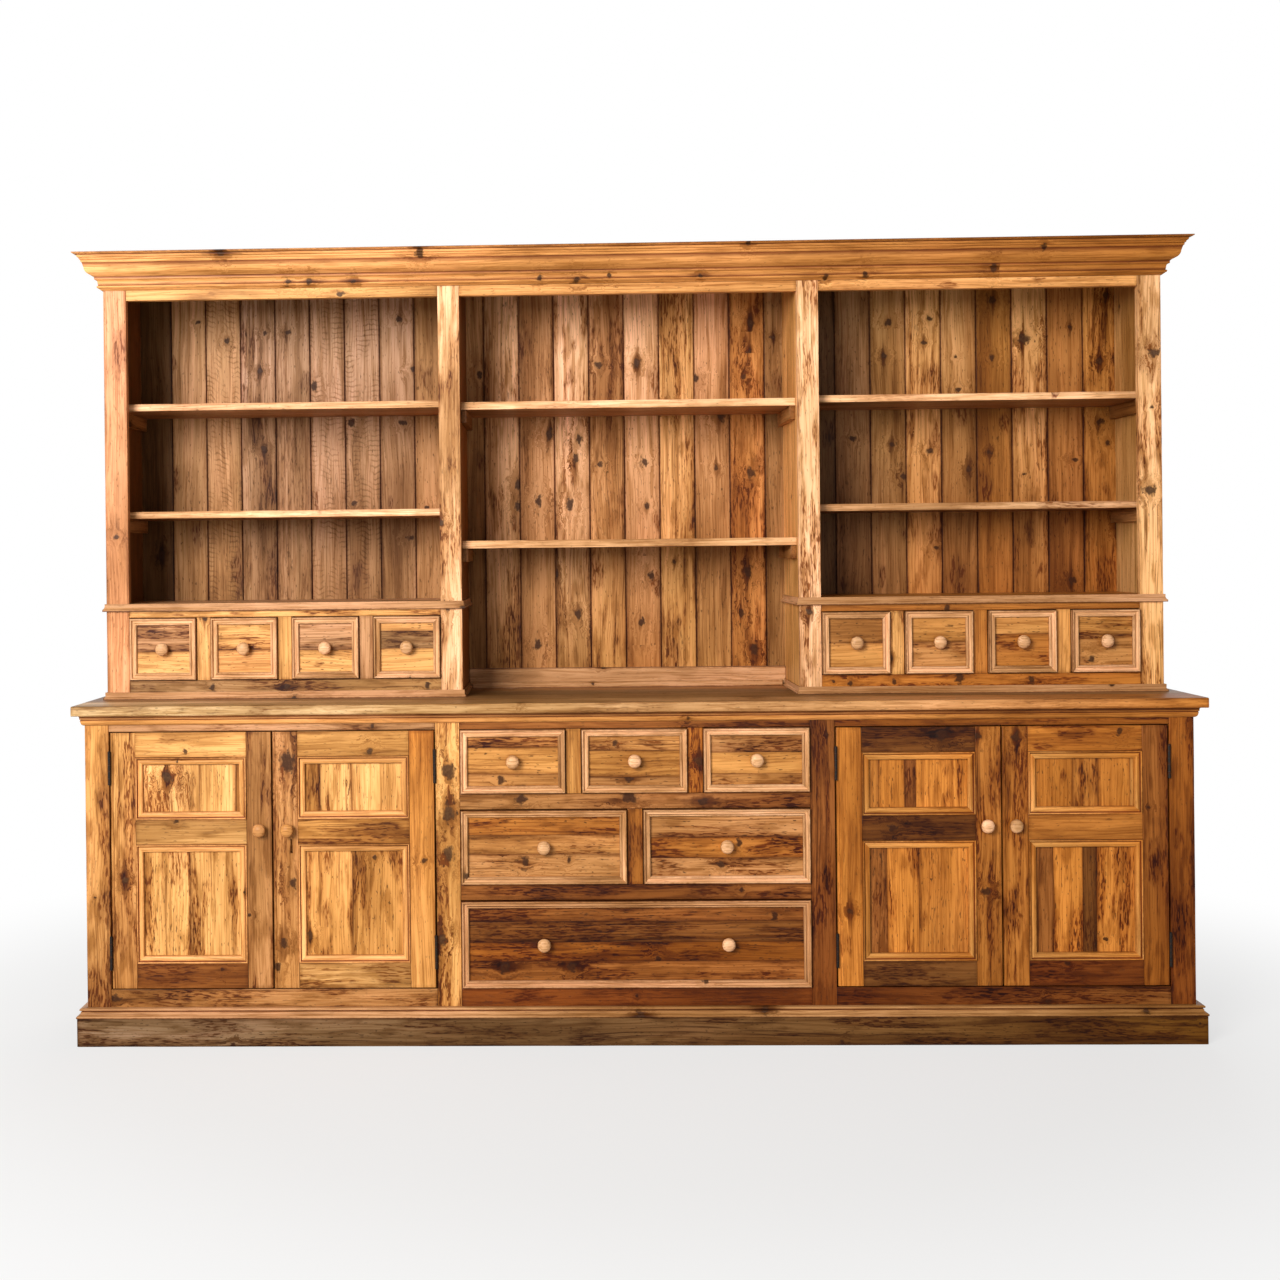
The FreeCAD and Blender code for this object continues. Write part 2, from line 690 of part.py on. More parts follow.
def build_all():
    nodes = {
        "plinth": build_plinth(),
        "base_face_frame": build_base_face_frame(),
        "base_uprights": build_base_uprights(),
        "base_floors_and_shelves": build_base_floors_and_shelves(),
        "base_back_boards": build_back_boards(base_half, back_board_lift, worktop_underside),
        "drawer_runners": build_drawer_runners(),
        "worktop": build_worktop(),
        "worktop_moulding": build_worktop_moulding(),
        "upper_face_frame": build_upper_face_frame(),
        "upper_uprights": build_upper_uprights(),
        "upper_shelves": build_upper_shelves(),
        "upper_back_boards": build_back_boards(upper_half, worktop_height, rack_top),
        "cleats_and_stops": build_cleats_and_stops(),
        "cornice": build_cornice(),
        "upper_mouldings": build_upper_mouldings(),
        "hinge_frame_leaves": build_hinge_frame_leaves()}
    for name, edge, way, knob_inset in doors:
        for part, pieces in build_door(edge, way, knob_inset).items():
            nodes[name + "_" + part] = pieces
    for name, openings, z0, z1 in drawer_rows:
        for i, (x0, x1) in enumerate(openings):
            middle = (x0 + x1) / 2
            knob_xs = [middle]
            if len(openings) == 1:
                knob_xs = [middle - pair_knob_spacing / 2, middle + pair_knob_spacing / 2]
            for part, pieces in build_drawer(x0, x1, z0, z1, base_face_y, knob_xs).items():
                nodes["%s_%d_%s" % (name, i + 1, part)] = pieces
    for name, openings in small_rows:
        for i, (x0, x1) in enumerate(openings):
            drawer = build_drawer(x0, x1, small_row_bottom, small_row_top, upper_face_y, [(x0 + x1) / 2])
            for part, pieces in drawer.items():
                nodes["%s_%d_%s" % (name, i + 1, part)] = pieces
    return nodes


def main():
    os.makedirs("parts", exist_ok=True)
    for name, pieces in build_all().items():
        Part.makeCompound(pieces).exportStep("parts/%s.step" % name)
    print("wrote the parts")


main()
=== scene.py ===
"""A wide pine hutch: its boards, mouldings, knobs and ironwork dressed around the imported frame."""

import functools
import math
import random

import bmesh
import bpy
from mathutils import Matrix, Vector, noise


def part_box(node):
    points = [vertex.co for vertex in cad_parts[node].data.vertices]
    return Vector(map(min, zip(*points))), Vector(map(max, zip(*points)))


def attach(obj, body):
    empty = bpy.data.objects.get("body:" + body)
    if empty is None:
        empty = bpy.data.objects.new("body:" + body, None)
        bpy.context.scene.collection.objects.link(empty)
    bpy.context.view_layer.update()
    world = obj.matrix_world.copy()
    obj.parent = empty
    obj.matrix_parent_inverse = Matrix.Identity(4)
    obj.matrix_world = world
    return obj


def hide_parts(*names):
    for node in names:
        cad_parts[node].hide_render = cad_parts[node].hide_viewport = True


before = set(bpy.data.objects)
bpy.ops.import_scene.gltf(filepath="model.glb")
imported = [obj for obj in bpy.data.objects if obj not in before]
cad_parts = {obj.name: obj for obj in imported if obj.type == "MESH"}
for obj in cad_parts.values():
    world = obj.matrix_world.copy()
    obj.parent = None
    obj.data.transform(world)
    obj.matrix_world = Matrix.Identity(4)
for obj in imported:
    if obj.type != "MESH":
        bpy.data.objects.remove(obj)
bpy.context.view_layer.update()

bl_info = {
    "name": "Pine hutch",
    "version": (1, 0, 0),
    "blender": (4, 5, 0),
    "location": "View3D > Sidebar > Hutch",
    "description": "Dresses a pine hutch with its boards, grain, knobs and ironwork",
    "category": "Object",
}

MM = 0.001
X, Y, Z = range(3)
MERGE_DISTANCE = 0.01 * MM
FLAT_ANGLE = math.radians(0.5)
ARRIS_ANGLE = math.radians(50)
HOLLOW_ANGLE = math.radians(28)
BOARD_SMOOTH_ANGLE = math.radians(20)
MOULDING_SMOOTH_ANGLE = math.radians(32)
KNOB_SMOOTH_ANGLE = math.radians(50)
# A Wave texture of scale 1 turns through this in a metre
WAVE_RADIANS_PER_METRE = 20
# How squarely a face looks along an axis, at least, to count as looking that way
SQUARE_ON = 0.8
# A solid of a drawer's front that is smaller than this is its knob
KNOB_BOX = 40 * MM
# Distance between the cuts across a moulding that let its marks change along it
MOULDING_PITCH = 100 * MM
# Knots and stains that are scattered: distance apart along the board, and least and greatest radius
KNOT_SPACING, KNOT_RADII = 150 * MM, (3.5 * MM, 9 * MM)
STAIN_SPACING, STAIN_RADII = 300 * MM, (14 * MM, 34 * MM)
# Tries for each scattered mark, before the board does without it
SCATTER_TRIES = 4
# Marks that were read stay this many times their radii apart along a board
OWN_SPACING = 3.0
# How strongly a board shows its rings and its weathering, where its row says so and otherwise, and
# how much lighter or darker than its row it may be
STRONG_RINGS, OTHER_RINGS = 1.5, (0.2, 0.8)
STRONG_WEATHER, OTHER_WEATHER = 1.1, (0.0, 0.45)
SHADES = (0.95, 1.05)
# Knots and stains in each metre of a panel's or drawer front's boards
FIELD_KNOTS, FIELD_STAINS = 0.4, 0.3
# Wear along the edges: swells and dents per metre, steps from board to board, and how deep each is
SWELLS_PER_METRE, SWELL_STEPS = 9, (31, 17, 0)
DENTS_PER_METRE, DENT_STEPS = 41, (0, 23, 7)
WEAR_BASE, WEAR_SWELL, WEAR_DENT = 0.35, 0.9, 0.5
# How far the cuts along a board's edges lie off even places, as a share of their distance
WEAR_JITTER = 0.2
# Sizes of the rust's blooms and of the scratches in the hinge iron
RUST_BLOOM_MM, SCRATCH_MM = 8.3333, 1.1111

# The photograph's camera, found from points of the photograph: place in metres, turn in radians
PHOTO_SIDE = 1280
CAMERA_PLACE = Vector((-0.16996, -4.7508, 1.30816))
CAMERA_YAW, CAMERA_PITCH, CAMERA_ROLL = -0.02869, -0.00329, -0.01061
CAMERA_SENSOR, CAMERA_LENS = 36, 47.49
CAMERA_SHIFT_X, CAMERA_SHIFT_Y = 0.09375, -0.0625


def linear(hex_value):
    """Linear colour of an sRGB hex value."""
    shares = [int(hex_value[i:i + 2], 16) / 255 for i in (0, 2, 4)]
    return tuple(s / 12.92 if s <= 0.04045 else ((s + 0.055) / 1.055) ** 2.4 for s in shares)


def colour(name, description, hex_value):
    """A colour that a user can change, from its sRGB hex value."""
    return bpy.props.FloatVectorProperty(
        name=name, description=description, default=linear(hex_value), size=3, min=0, max=1,
        subtype="COLOR")


def length(name, description, millimetres):
    """A length that a user can change, from its millimetres."""
    return bpy.props.FloatProperty(
        name=name, description=description, default=millimetres * MM, min=0, subtype="DISTANCE",
        unit="LENGTH")


class HutchSizes(bpy.types.PropertyGroup):
    """Sizes of what the finish adds to the joiner's work."""
    arris: length("Arris", "Width of the softened edge of a board", 1.3)
    wear: length("Wear", "Deepest hollow that wear leaves along an edge", 0.5)
    wear_pitch: length("Wear pitch", "Distance between hollows along an edge", 62)
    bead: length("Door bead", "Width of the bead on a door's left edge", 6.5)
    quirk: length("Quirk", "Width and depth of the groove beside the bead", 1.8)
    keyhole_width: length("Keyhole width", "Width of the worn slot under the second door's knob", 7)
    keyhole_height: length("Keyhole height", "Height of that slot", 38)
    keyhole_drop: length("Keyhole drop", "From the knob's middle to the top of the slot", 26)
    keyhole_shift: length("Keyhole shift", "From the knob's middle to the slot, towards the panel", 9)
    keyhole_depth: length("Keyhole depth", "Depth of the slot", 14)
    nick_width: length("Nick width", "Width of the notch in the right bay's upper shelf", 26)
    nick_depth: length("Nick depth", "Depth of that notch", 12)


class HutchColours(bpy.types.PropertyGroup):
    """Colours of the clear wood of the boards, and of what marks them."""
    ivory: colour("Ivory", "Palest planed edge of the worktop", "FFDCAA")
    cream: colour("Cream", "Freshly planed pine", "FFC894")
    honey: colour("Honey", "Palest waxed pine of the left bay and doors", "EBAF68")
    peach: colour("Peach", "Waxed pine of the cornice", "E9A864")
    blush: colour("Blush", "Pinkish newer pine", "E3B080")
    rose: colour("Rose", "Pinkish pine under more wax", "C69264")
    maize: colour("Maize", "Deeper waxed pine of the left doors", "DE9E56")
    apricot: colour("Apricot", "Pinker waxed pine of the rack's left stile", "E09C6A")
    amber: colour("Amber", "Waxed pine of most left front boards", "D2944E")
    caramel: colour("Caramel", "Waxed pine of most right front boards", "C87E32")
    toffee: colour("Toffee", "Deeper waxed pine", "B87430")
    ochre: colour("Ochre", "Browner waxed pine", "B67F49")
    bran: colour("Bran", "Waxed pine of the drawers", "C2874A")
    tan: colour("Tan", "Back boards", "BA8A50")
    ash: colour("Ash", "Greyer upper ends of the left bay's back boards", "AE8866")
    wheat: colour("Wheat", "Palest back boards", "CE9A5C")
    clay: colour("Clay", "Pinkish back boards", "B4834F")
    fox: colour("Fox", "Orange back boards", "BA7F42")
    smoke: colour("Smoke", "Weathered grey-brown boards", "A67C4E")
    stone: colour("Stone", "Greyer back boards", "94704A")
    russet: colour("Russet", "Redder waxed pine", "985C28")
    sienna: colour("Sienna", "Deep orange-brown pine", "96561A")
    chestnut: colour("Chestnut", "Dark reddish front boards", "7A3E12")
    umber: colour("Umber", "Dark brown front boards", "7E4C1E")
    treacle: colour("Treacle", "Darkest front boards", "74481E")
    bark: colour("Bark", "Rough plinth and sooty back boards", "7E6244")
    soot: colour("Soot", "Darkest back boards", "6E4E2C")
    cocoa: colour("Cocoa", "Redder end of the plinth", "6E4410")
    tawny: colour("Tawny", "Golden brown back boards of the right bay", "B57D3A")
    raw: colour("Raw", "Unfinished pine inside", "B98E5C")
    knot: colour("Knot", "Dead knots", "2A0E04")
    stain: colour("Stain", "Black marks that old nails and damp left", "301A0C")
    iron: colour("Iron", "Blackened hinge iron", "26221F")
    rust: colour("Rust", "Brown blooms on the hinge iron", "4A2A18")
    floor: colour("Floor", "Pale studio floor", "D2D0CC")


def tone(name):
    """A colour of the hutch by its name."""
    return tuple(getattr(bpy.context.scene.hutch_colours, name))


# What the corners of a board's faces tell its material: where on the board they are, half its size,
# numbers that make it differ from others, how marked it is, and its nearest knot and stain
BOARD_FACTS = ("board_at", "board_half", "board_look", "board_style", "board_knot", "board_stain")


def board_layers(bm):
    """Corner and face layers that a board's material reads."""
    corner = bm.loops.layers
    vectors = {n: corner.float_vector.get(n) or corner.float_vector.new(n) for n in BOARD_FACTS}
    tint = corner.float_color.get("board_tint") or corner.float_color.new("board_tint")
    shade_and_end_layer = bm.faces.layers.float.get("end_grain") or bm.faces.layers.float.new("end_grain")
    hollow = corner.float.get("hollow") or corner.float.new("hollow")
    return vectors, tint, shade_and_end_layer, hollow


def solids_of(node):
    """One merged mesh for each solid of a CAD node, in the order in which the solids were made."""
    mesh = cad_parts[node].data
    points = [tuple(round(c, 6) for c in v.co) for v in mesh.vertices]
    spans = []
    start = 0
    unmatched = set()
    for polygon in mesh.polygons:
        ring = [points[i] for i in polygon.vertices]
        for a, b in zip(ring, ring[1:] + ring[:1]):
            if (b, a) in unmatched:
                unmatched.discard((b, a))
            else:
                unmatched.add((a, b))
        if not unmatched:
            spans.append(range(start, polygon.index + 1))
            start = polygon.index + 1
    solids = []
    for span in spans:
        bm = bmesh.new()
        bm.from_mesh(mesh)
        board_layers(bm)
        others = [f for f in bm.faces if f.index not in span]
        bmesh.ops.delete(bm, geom=others, context="FACES")
        bmesh.ops.remove_doubles(bm, verts=bm.verts, dist=MERGE_DISTANCE)
        bmesh.ops.dissolve_limit(bm, angle_limit=FLAT_ANGLE, verts=bm.verts, edges=bm.edges)
        solids.append(bm)
    return solids


def box_of(bm):
    """Lowest and highest corners of a mesh."""
    places = [v.co for v in bm.verts]
    low = Vector(min(p[i] for p in places) for i in range(3))
    high = Vector(max(p[i] for p in places) for i in range(3))
    return low, high


def cut_at(bm, axis, places):
    """Cuts a mesh at places along an axis, without opening it."""
    for place in places:
        point = Vector()
        point[axis] = place
        normal = Vector()
        normal[axis] = 1
        everything = bm.verts[:] + bm.edges[:] + bm.faces[:]
        bmesh.ops.bisect_plane(bm, geom=everything, plane_co=point, plane_no=normal, dist=MERGE_DISTANCE)


def soften(bm, width):
    """Rounds the long and short edges of a board."""
    sharp = [e for e in bm.edges if e.is_manifold and e.calc_face_angle() > ARRIS_ANGLE]
    bmesh.ops.bevel(
        bm, geom=sharp, offset=width, offset_type="OFFSET", segments=2, profile=0.5, affect="EDGES",
        material=-1, clamp_overlap=True)


def wear_down(bm, depth, seed):
    """Sinks the points along the edges a little, unevenly, and never outwards."""
    bm.normal_update()
    for v in bm.verts:
        swell = noise.noise(v.co * SWELLS_PER_METRE + Vector(seed * step for step in SWELL_STEPS))
        dent = noise.noise(v.co * DENTS_PER_METRE + Vector(seed * step for step in DENT_STEPS))
        v.co -= v.normal * depth * max(0, WEAR_BASE + WEAR_SWELL * swell + WEAR_DENT * dent)


def mark_hollows(bm):
    """Marks the corners along a moulding's sunk edges, where wax and dirt stay and which also get
    painted shade.
    """
    hollow = board_layers(bm)[3]
    for edge in bm.edges:
        if edge.is_manifold and not edge.is_convex and edge.calc_face_angle() > HOLLOW_ANGLE:
            for corner in edge.link_loops:
                corner[hollow] = 1.0
                corner.link_loop_next[hollow] = 1.0


def scatter(rng, low, high, along, across, count, spacing, radii):
    """Places for knots or stains on a board, apart from each other along it."""
    marks = []
    for _ in range(count * SCATTER_TRIES):
        if len(marks) == count:
            break
        place = rng.uniform(low[along], high[along])
        side = rng.uniform(low[across], high[across])
        radius = rng.uniform(*radii)
        if all(abs(place - m[0]) > spacing for m in marks):
            marks.append((place, side, radius))
    return marks


class Board:
    """What one board is: where its box is, how its grain runs, its colour and its marks."""

    def __init__(self, low, high, kind, rng, grain=None, knots=0.0, stains=0.0, marks=None):
        size = high - low
        order = sorted(range(3), key=lambda i: -size[i])
        if grain is not None:
            order.remove(grain)
            order.insert(0, grain)
        self.order = order
        self.low, self.high = low, high
        self.middle = (low + high) / 2
        self.half = size / 2
        self.look = Vector((rng.random(), rng.random(), rng.random()))
        self.style = Vector((
            STRONG_RINGS if "r" in kind.looks else rng.uniform(*OTHER_RINGS),
            STRONG_WEATHER if "w" in kind.looks else rng.uniform(*OTHER_WEATHER),
            1.0 if "s" in kind.looks else 0.0))
        shade = rng.uniform(*SHADES)
        self.tints = [Vector(c * shade for c in tone(n)) for n in kind.tones]
        along, across = order[0], order[1]
        run = size[along]
        self.knots = self.own(marks, "knots")
        self.stains = self.own(marks, "stains")
        if not self.knots:
            count = int(run * knots + rng.random())
            self.knots = scatter(rng, low, high, along, across, count, KNOT_SPACING, KNOT_RADII)
        if not self.stains:
            count = int(run * stains + rng.random())
            self.stains = scatter(
                rng, low, high, along, across, count, STAIN_SPACING, STAIN_RADII)

    def own(self, marks, kind):
        """The given marks that lie on the board's front, largest first, none too near another."""
        along, across = self.order[0], self.order[1]
        kept = []
        if Y in (along, across):
            return kept
        for x, z, radius in sorted((marks or {}).get(kind, ()), key=lambda m: -m[2]):
            place = {X: x, Z: z}
            if all(self.low[i] <= place[i] <= self.high[i] for i in (X, Z)):
                if all(abs(place[along] - m[0]) > OWN_SPACING * (radius + m[2]) for m in kept):
                    kept.append((place[along], place[across], radius))
        return kept

    def local(self, point):
        """A point along, across and through the board, from its middle."""
        shifted = point - self.middle
        return Vector(shifted[i] for i in self.order)

    def nearest(self, marks, place):
        """The nearest of some marks, in the board's own terms. A radius of zero is no mark."""
        if not marks:
            return Vector((0, 0, 0))
        along, across = self.order[0], self.order[1]
        best = min(marks, key=lambda m: abs(m[0] - place))
        return Vector((best[0] - self.middle[along], best[1] - self.middle[across], best[2]))

    def label(self, bm, faces):
        """Writes the board's facts on the corners of its faces."""
        vectors, tint, shade_and_end_layer, _ = board_layers(bm)
        along = self.order[0]
        half = Vector(self.half[i] for i in self.order)
        start, run = self.low[along], 2 * self.half[along]
        for face in faces:
            place = face.calc_center_median()[along]
            knot = self.nearest(self.knots, place)
            stain = self.nearest(self.stains, place)
            face[shade_and_end_layer] = 1.0 if abs(face.normal[along]) > SQUARE_ON else 0.0
            for corner in face.loops:
                corner[vectors["board_at"]] = self.local(corner.vert.co)
                corner[vectors["board_half"]] = half
                corner[vectors["board_look"]] = self.look
                corner[vectors["board_style"]] = self.style
                corner[vectors["board_knot"]] = knot
                corner[vectors["board_stain"]] = stain
                share = (corner.vert.co[along] - start) / run
                corner[tint] = (*self.tints[0].lerp(self.tints[-1], share), 1.0)


def build_piece(name, solids, material, body, nodes, smooth=BOARD_SMOOTH_ANGLE):
    """Joins finished solids in one object that rides on a body and stands for CAD nodes."""
    whole = bmesh.new()
    board_layers(whole)
    for bm in solids:
        mesh = bpy.data.meshes.new(name)
        bm.to_mesh(mesh)
        bm.free()
        whole.from_mesh(mesh)
        bpy.data.meshes.remove(mesh)
    mesh = bpy.data.meshes.new(name)
    whole.to_mesh(mesh)
    whole.free()
    for stale in [a.name for a in mesh.attributes if a.name.startswith(("custom_normal", "UVMap"))]:
        mesh.attributes.remove(mesh.attributes[stale])
    mesh.polygons.foreach_set("use_smooth", [True] * len(mesh.polygons))
    mesh.set_sharp_from_angle(angle=smooth)
    mesh.materials.clear()
    mesh.materials.append(material)
    obj = bpy.data.objects.new(name, mesh)
    bpy.context.scene.collection.objects.link(obj)
    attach(obj, body)
    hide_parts(*nodes)
    return obj


def add(tree, kind, *values, inputs=None, out=0, **settings):
    """Adds a node, sets or links its inputs in order or by name, and returns one of its outputs."""
    node = tree.nodes.new("ShaderNode" + kind)
    for key, value in settings.items():
        setattr(node, key, value)
    for key, value in [*enumerate(values), *(inputs or {}).items()]:
        if isinstance(value, bpy.types.NodeSocket):
            tree.links.new(value, node.inputs[key])
        else:
            node.inputs[key].default_value = value
    return node.outputs[out] if node.outputs else None


def emptied(owner):
    """The node tree of a material or a world, with nothing in it."""
    owner.use_nodes = True
    owner.node_tree.nodes.clear()
    return owner.node_tree


def wave_scale(pitch_mm):
    """Scale at which the bands of a Wave texture lie this many millimetres apart."""
    return math.tau / WAVE_RADIANS_PER_METRE / (pitch_mm * MM)


# How much more than plain grey the red, green and blue of old wood darken
AGEING = (-0.13, 0.2, 0.95)


def dark(share, warm=1.0):
    """Shade that darkens what it multiplies, most in the blue, as old wood darkens to a red brown."""
    return (*(share ** (1 + lean * warm) for lean in AGEING), 1)


# Uneven patches in the wood: size in millimetres along and across the grain, and fineness of detail.
# Fibres, dashes, checks and specks are drawn 4 mm wide where the real ones have 1 mm or less, so that
# they show when the whole hutch is in view. The sizes have this many digits because a board lies
# metres away from where its patterns start, and a rounder size would give it other marks
PATTERNS = {
    "drift": (666.67, 200, 3.0),
    "clouds": (294.12, 76.923, 5.0),
    "mottle": (100, 23.81, 4.0),
    "broad": (1250, 66.667, 2.0),
    "middling": (416.67, 14.286, 3.0),
    "fibre": (142.86, 3.8462, 3.0),
    "dashes": (26.316, 4, 2.0),
    "sway": (454.55, 111.11, 2.0),
    "wobble": (11.111, 11.111, 2.0),
    "knot_rim": (14.286, 9.0909, 3.0),
    "knot_heart": (6.6667, 6.6667, 1.0),
    "ring_fade": (769.23, 71.429, 3.0),
    "checks": (312.5, 4.3478, 1.0),
    "check_places": (588.24, 71.429, 2.0),
    "pit_places": (322.58, 58.824, 3.0),
    "specks": (13.333, 3.4483, 0.0),
    "stain_rim": (62.5, 16.667, 4.0),
    "saw_sway": (142.86, 38.462, 4.0),
    "saw_places": (111.11, 33.333, 3.0),
}
# How far apart in metres two boards' patterns may lie, so that no two boards are alike
PATTERN_SPREAD = (7.3, 5.9, 3.1)
# The real saw leaves marks 4 or 5 mm apart, which the render couldn't show
SAW_PITCH_MM = 15
# Settings of a Map Range node that comes in softly, and of a Mix node for colours with its sockets
SMOOTH = {"interpolation_type": "SMOOTHSTEP"}
COLOUR_MIX = {"data_type": "RGBA", "clamp_factor": True, "out": 2}
MIX_FACTOR, MIX_UNDER, MIX_OVER = 0, 6, 7
# What the clear wood's colour is multiplied by
PALE_LENGTH = (1.16, 1.17, 1.3, 1)
PALE_STREAK = (1.25, 1.26, 1.4, 1)
PALE_GRAIN = (1.18, 1.17, 1.25, 1)
# Paler rubbed edges, partly a painted highlight
PALE_EDGE_AND_HIGHLIGHT = (1.3, 1.3, 1.27, 1)
WORN_WOOD = (0.8, 0.71, 0.6, 1)
WORN_DASH = (0.36, 0.22, 0.11, 1)
STAINED_WOOD = (0.36, 0.23, 0.12, 1)
BLACK_GAP = (0.2, 0.06, 0.04, 1)
# Dark wax, and painted shade, in hollows
WAX_AND_SHADE_IN_HOLLOW = (0.22, 0.07, 0.03, 1)


def pine(name, figure=0.5, streaks=0.5, weather=0.5, pits=0.5, edges=0.3, joints=0.4,
         edge_grime_and_shade_mm=12.0, gaps=0.3, roughness=0.42, relief=0.5, ring_mm=9.0):
    """Old pine whose figure follows each board: growth rings, streaks, knots, stains and tool marks.

    Each share is how much of that mark shows, and board_style scales rings, weathering and saw
    marks board by board. Rings are drawn coarser than the 2 or 3 mm of the real ones, so that
    they show when the whole hutch is in view.
    """
    material = bpy.data.materials.new(name)
    node = functools.partial(add, emptied(material))

    def patches(place, pattern):
        """Uneven patches as the table of patterns gives them, from 0 to 1."""
        along_mm, across_mm, detail = PATTERNS[pattern]
        per_metre = [1 / (size * MM) for size in (along_mm, across_mm, across_mm)]
        where = node("VectorMath", place, per_metre, operation="MULTIPLY")
        return node("TexNoise", where, inputs={"Scale": 1.0, "Detail": detail})

    def where_all(*shares):
        """How much a mark shows that needs all of these."""
        shown = shares[0]
        for share in shares[1:]:
            shown = node("Math", shown, share, operation="MULTIPLY")
        return shown

    fact = {key: node("Attribute", out="Vector", attribute_name=key) for key in BOARD_FACTS}
    tint = node("Attribute", out="Color", attribute_name="board_tint")
    end_grain = node("Attribute", out="Fac", attribute_name="end_grain")
    hollow = node("Attribute", out="Fac", attribute_name="hollow")
    along, across, deep = node("SeparateXYZ", fact["board_at"]).node.outputs
    look_a, look_b, look_c = node("SeparateXYZ", fact["board_look"]).node.outputs
    ring_share, weather_share, saw_share = node("SeparateXYZ", fact["board_style"]).node.outputs
    knot_along, knot_across, knot_radius = node("SeparateXYZ", fact["board_knot"]).node.outputs
    stain_along, stain_across, stain_radius = node("SeparateXYZ", fact["board_stain"]).node.outputs
    shift = node("VectorMath", fact["board_look"], PATTERN_SPREAD, operation="MULTIPLY")
    board_at = node("VectorMath", fact["board_at"], shift, operation="ADD")

    # Each knot is round or a spike, as the limb was cut, and has a dark rim and tail
    off_along = node("Math", along, knot_along, operation="SUBTRACT")
    off_across = node("Math", across, knot_across, operation="SUBTRACT")
    squash = node("Math", look_b, 0.6, operation="ADD")
    off_knot = node("CombineXYZ", where_all(off_along, squash), off_across)
    ragged = node("Math", patches(board_at, "knot_rim"), 2.4, -0.2, operation="MULTIPLY_ADD")
    reach = where_all(node("VectorMath", off_knot, out="Value", operation="LENGTH"), ragged)
    knot_size = node("Math", knot_radius, 0.5 * MM, operation="MAXIMUM")
    has_knot = node("Math", knot_radius, 1 * MM, operation="GREATER_THAN")
    knot_share = node("Math", reach, knot_size, operation="DIVIDE")
    from_rim = node("Math", knot_share, 1.05, operation="SUBTRACT")
    along_share, across_share = (
        node("Math", node("Math", off, operation="ABSOLUTE"), knot_size, operation="DIVIDE")
        for off in (off_along, off_across))
    in_knot, knot_halo, knot_rim, knot_tail = (
        where_all(node("MapRange", away, none_at, all_at, **SMOOTH), has_knot)
        for away, none_at, all_at in (
            (knot_share, 1.1, 0.75), (knot_share, 5.5, 1.0),
            (node("Math", from_rim, operation="ABSOLUTE"), 0.4, 0.05), (across_share, 1.7, 0.4)))
    knot_tail = where_all(knot_tail, node("MapRange", along_share, 9.0, 1.0, **SMOOTH))

    # The grain bends round the knot and sways along the board
    bend = where_all(off_across, knot_halo, 0.8)
    sway = node("Math", patches(board_at, "sway"), 40 * MM, -20 * MM, operation="MULTIPLY_ADD")
    bent = node("Math", node("Math", across, bend, operation="SUBTRACT"), sway, operation="ADD")
    grain_at = node("VectorMath", node("CombineXYZ", along, bent, deep), shift, operation="ADD")

    # Growth rings round a pith that lies off the board and runs at a slant to it
    slant = node("Math", look_c, 0.07, -0.035, operation="MULTIPLY_ADD")
    pith_aside = node("Math", look_a, 110 * MM, -55 * MM, operation="MULTIPLY_ADD")
    pith_below = node("Math", look_b, 60 * MM, 10 * MM, operation="MULTIPLY_ADD")
    slanted = node("Math", along, slant, deep, operation="MULTIPLY_ADD")
    rings_at = node(
        "CombineXYZ", where_all(along, 0.05), node("Math", bent, pith_aside, operation="SUBTRACT"),
        node("Math", slanted, pith_below, operation="ADD"))
    rings = node(
        "TexWave", rings_at, out="Fac", wave_type="RINGS", rings_direction="X", wave_profile="SAW",
        inputs={"Scale": wave_scale(ring_mm), "Distortion": 2.6, "Detail": 3.0, "Detail Scale": 0.6})
    late_wood = node("Math", rings, 2.2, operation="POWER")
    ring_fade = node("MapRange", patches(grain_at, "ring_fade"), 0.36, 0.6, 0.15, **SMOOTH)
    ringed = where_all(late_wood, ring_fade, ring_share)

    broad, middling, fibre, dashes, checks = (
        patches(grain_at, pattern) for pattern in ("broad", "middling", "fibre", "dashes", "checks"))
    drift, clouds, mottle, wobble, specks, check_places, pit_places, saw_places = (
        patches(board_at, pattern) for pattern in (
            "drift", "clouds", "mottle", "wobble", "specks", "check_places", "pit_places",
            "saw_places"))

    # Weathered places, short dark marks along the grain, checks, small holes and specks
    worn_edge = node("Math", middling, 0.45, clouds, operation="MULTIPLY_ADD")
    worn = where_all(node("MapRange", worn_edge, 0.72, 0.83, **SMOOTH), weather_share)
    dashed = node("MapRange", dashes, 0.48, 0.58, **SMOOTH)
    checked = where_all(
        node("MapRange", checks, 0.6, 0.67, **SMOOTH),
        node("MapRange", check_places, 0.47, 0.6, **SMOOTH))
    holed = where_all(
        node("MapRange", dashes, 0.6, 0.68, **SMOOTH),
        node("MapRange", pit_places, 0.48, 0.66, **SMOOTH))
    specked = node("MapRange", specks, 0.75, 0.79, **SMOOTH)
    pitted = where_all(node("Math", holed, specked, operation="MAXIMUM"), pits)

    # One stain, where the board's nearest mark holds one, fraying along the grain
    off_stain = node(
        "CombineXYZ", where_all(node("Math", along, stain_along, operation="SUBTRACT"), 0.45),
        node("Math", across, stain_across, operation="SUBTRACT"))
    stain_share = node(
        "Math", node("VectorMath", off_stain, out="Value", operation="LENGTH"),
        node("Math", stain_radius, 1 * MM, operation="MAXIMUM"), operation="DIVIDE")
    for pattern, fray in ((patches(board_at, "stain_rim"), 3.4), (middling, 1.8), (fibre, 1.6)):
        centred = node("Math", pattern, 0.5, operation="SUBTRACT")
        stain_share = node("Math", centred, fray, stain_share, operation="MULTIPLY_ADD")
    stained = where_all(
        node("MapRange", stain_share, 1.25, 0.55, **SMOOTH),
        node("Math", stain_radius, 2 * MM, operation="GREATER_THAN"))

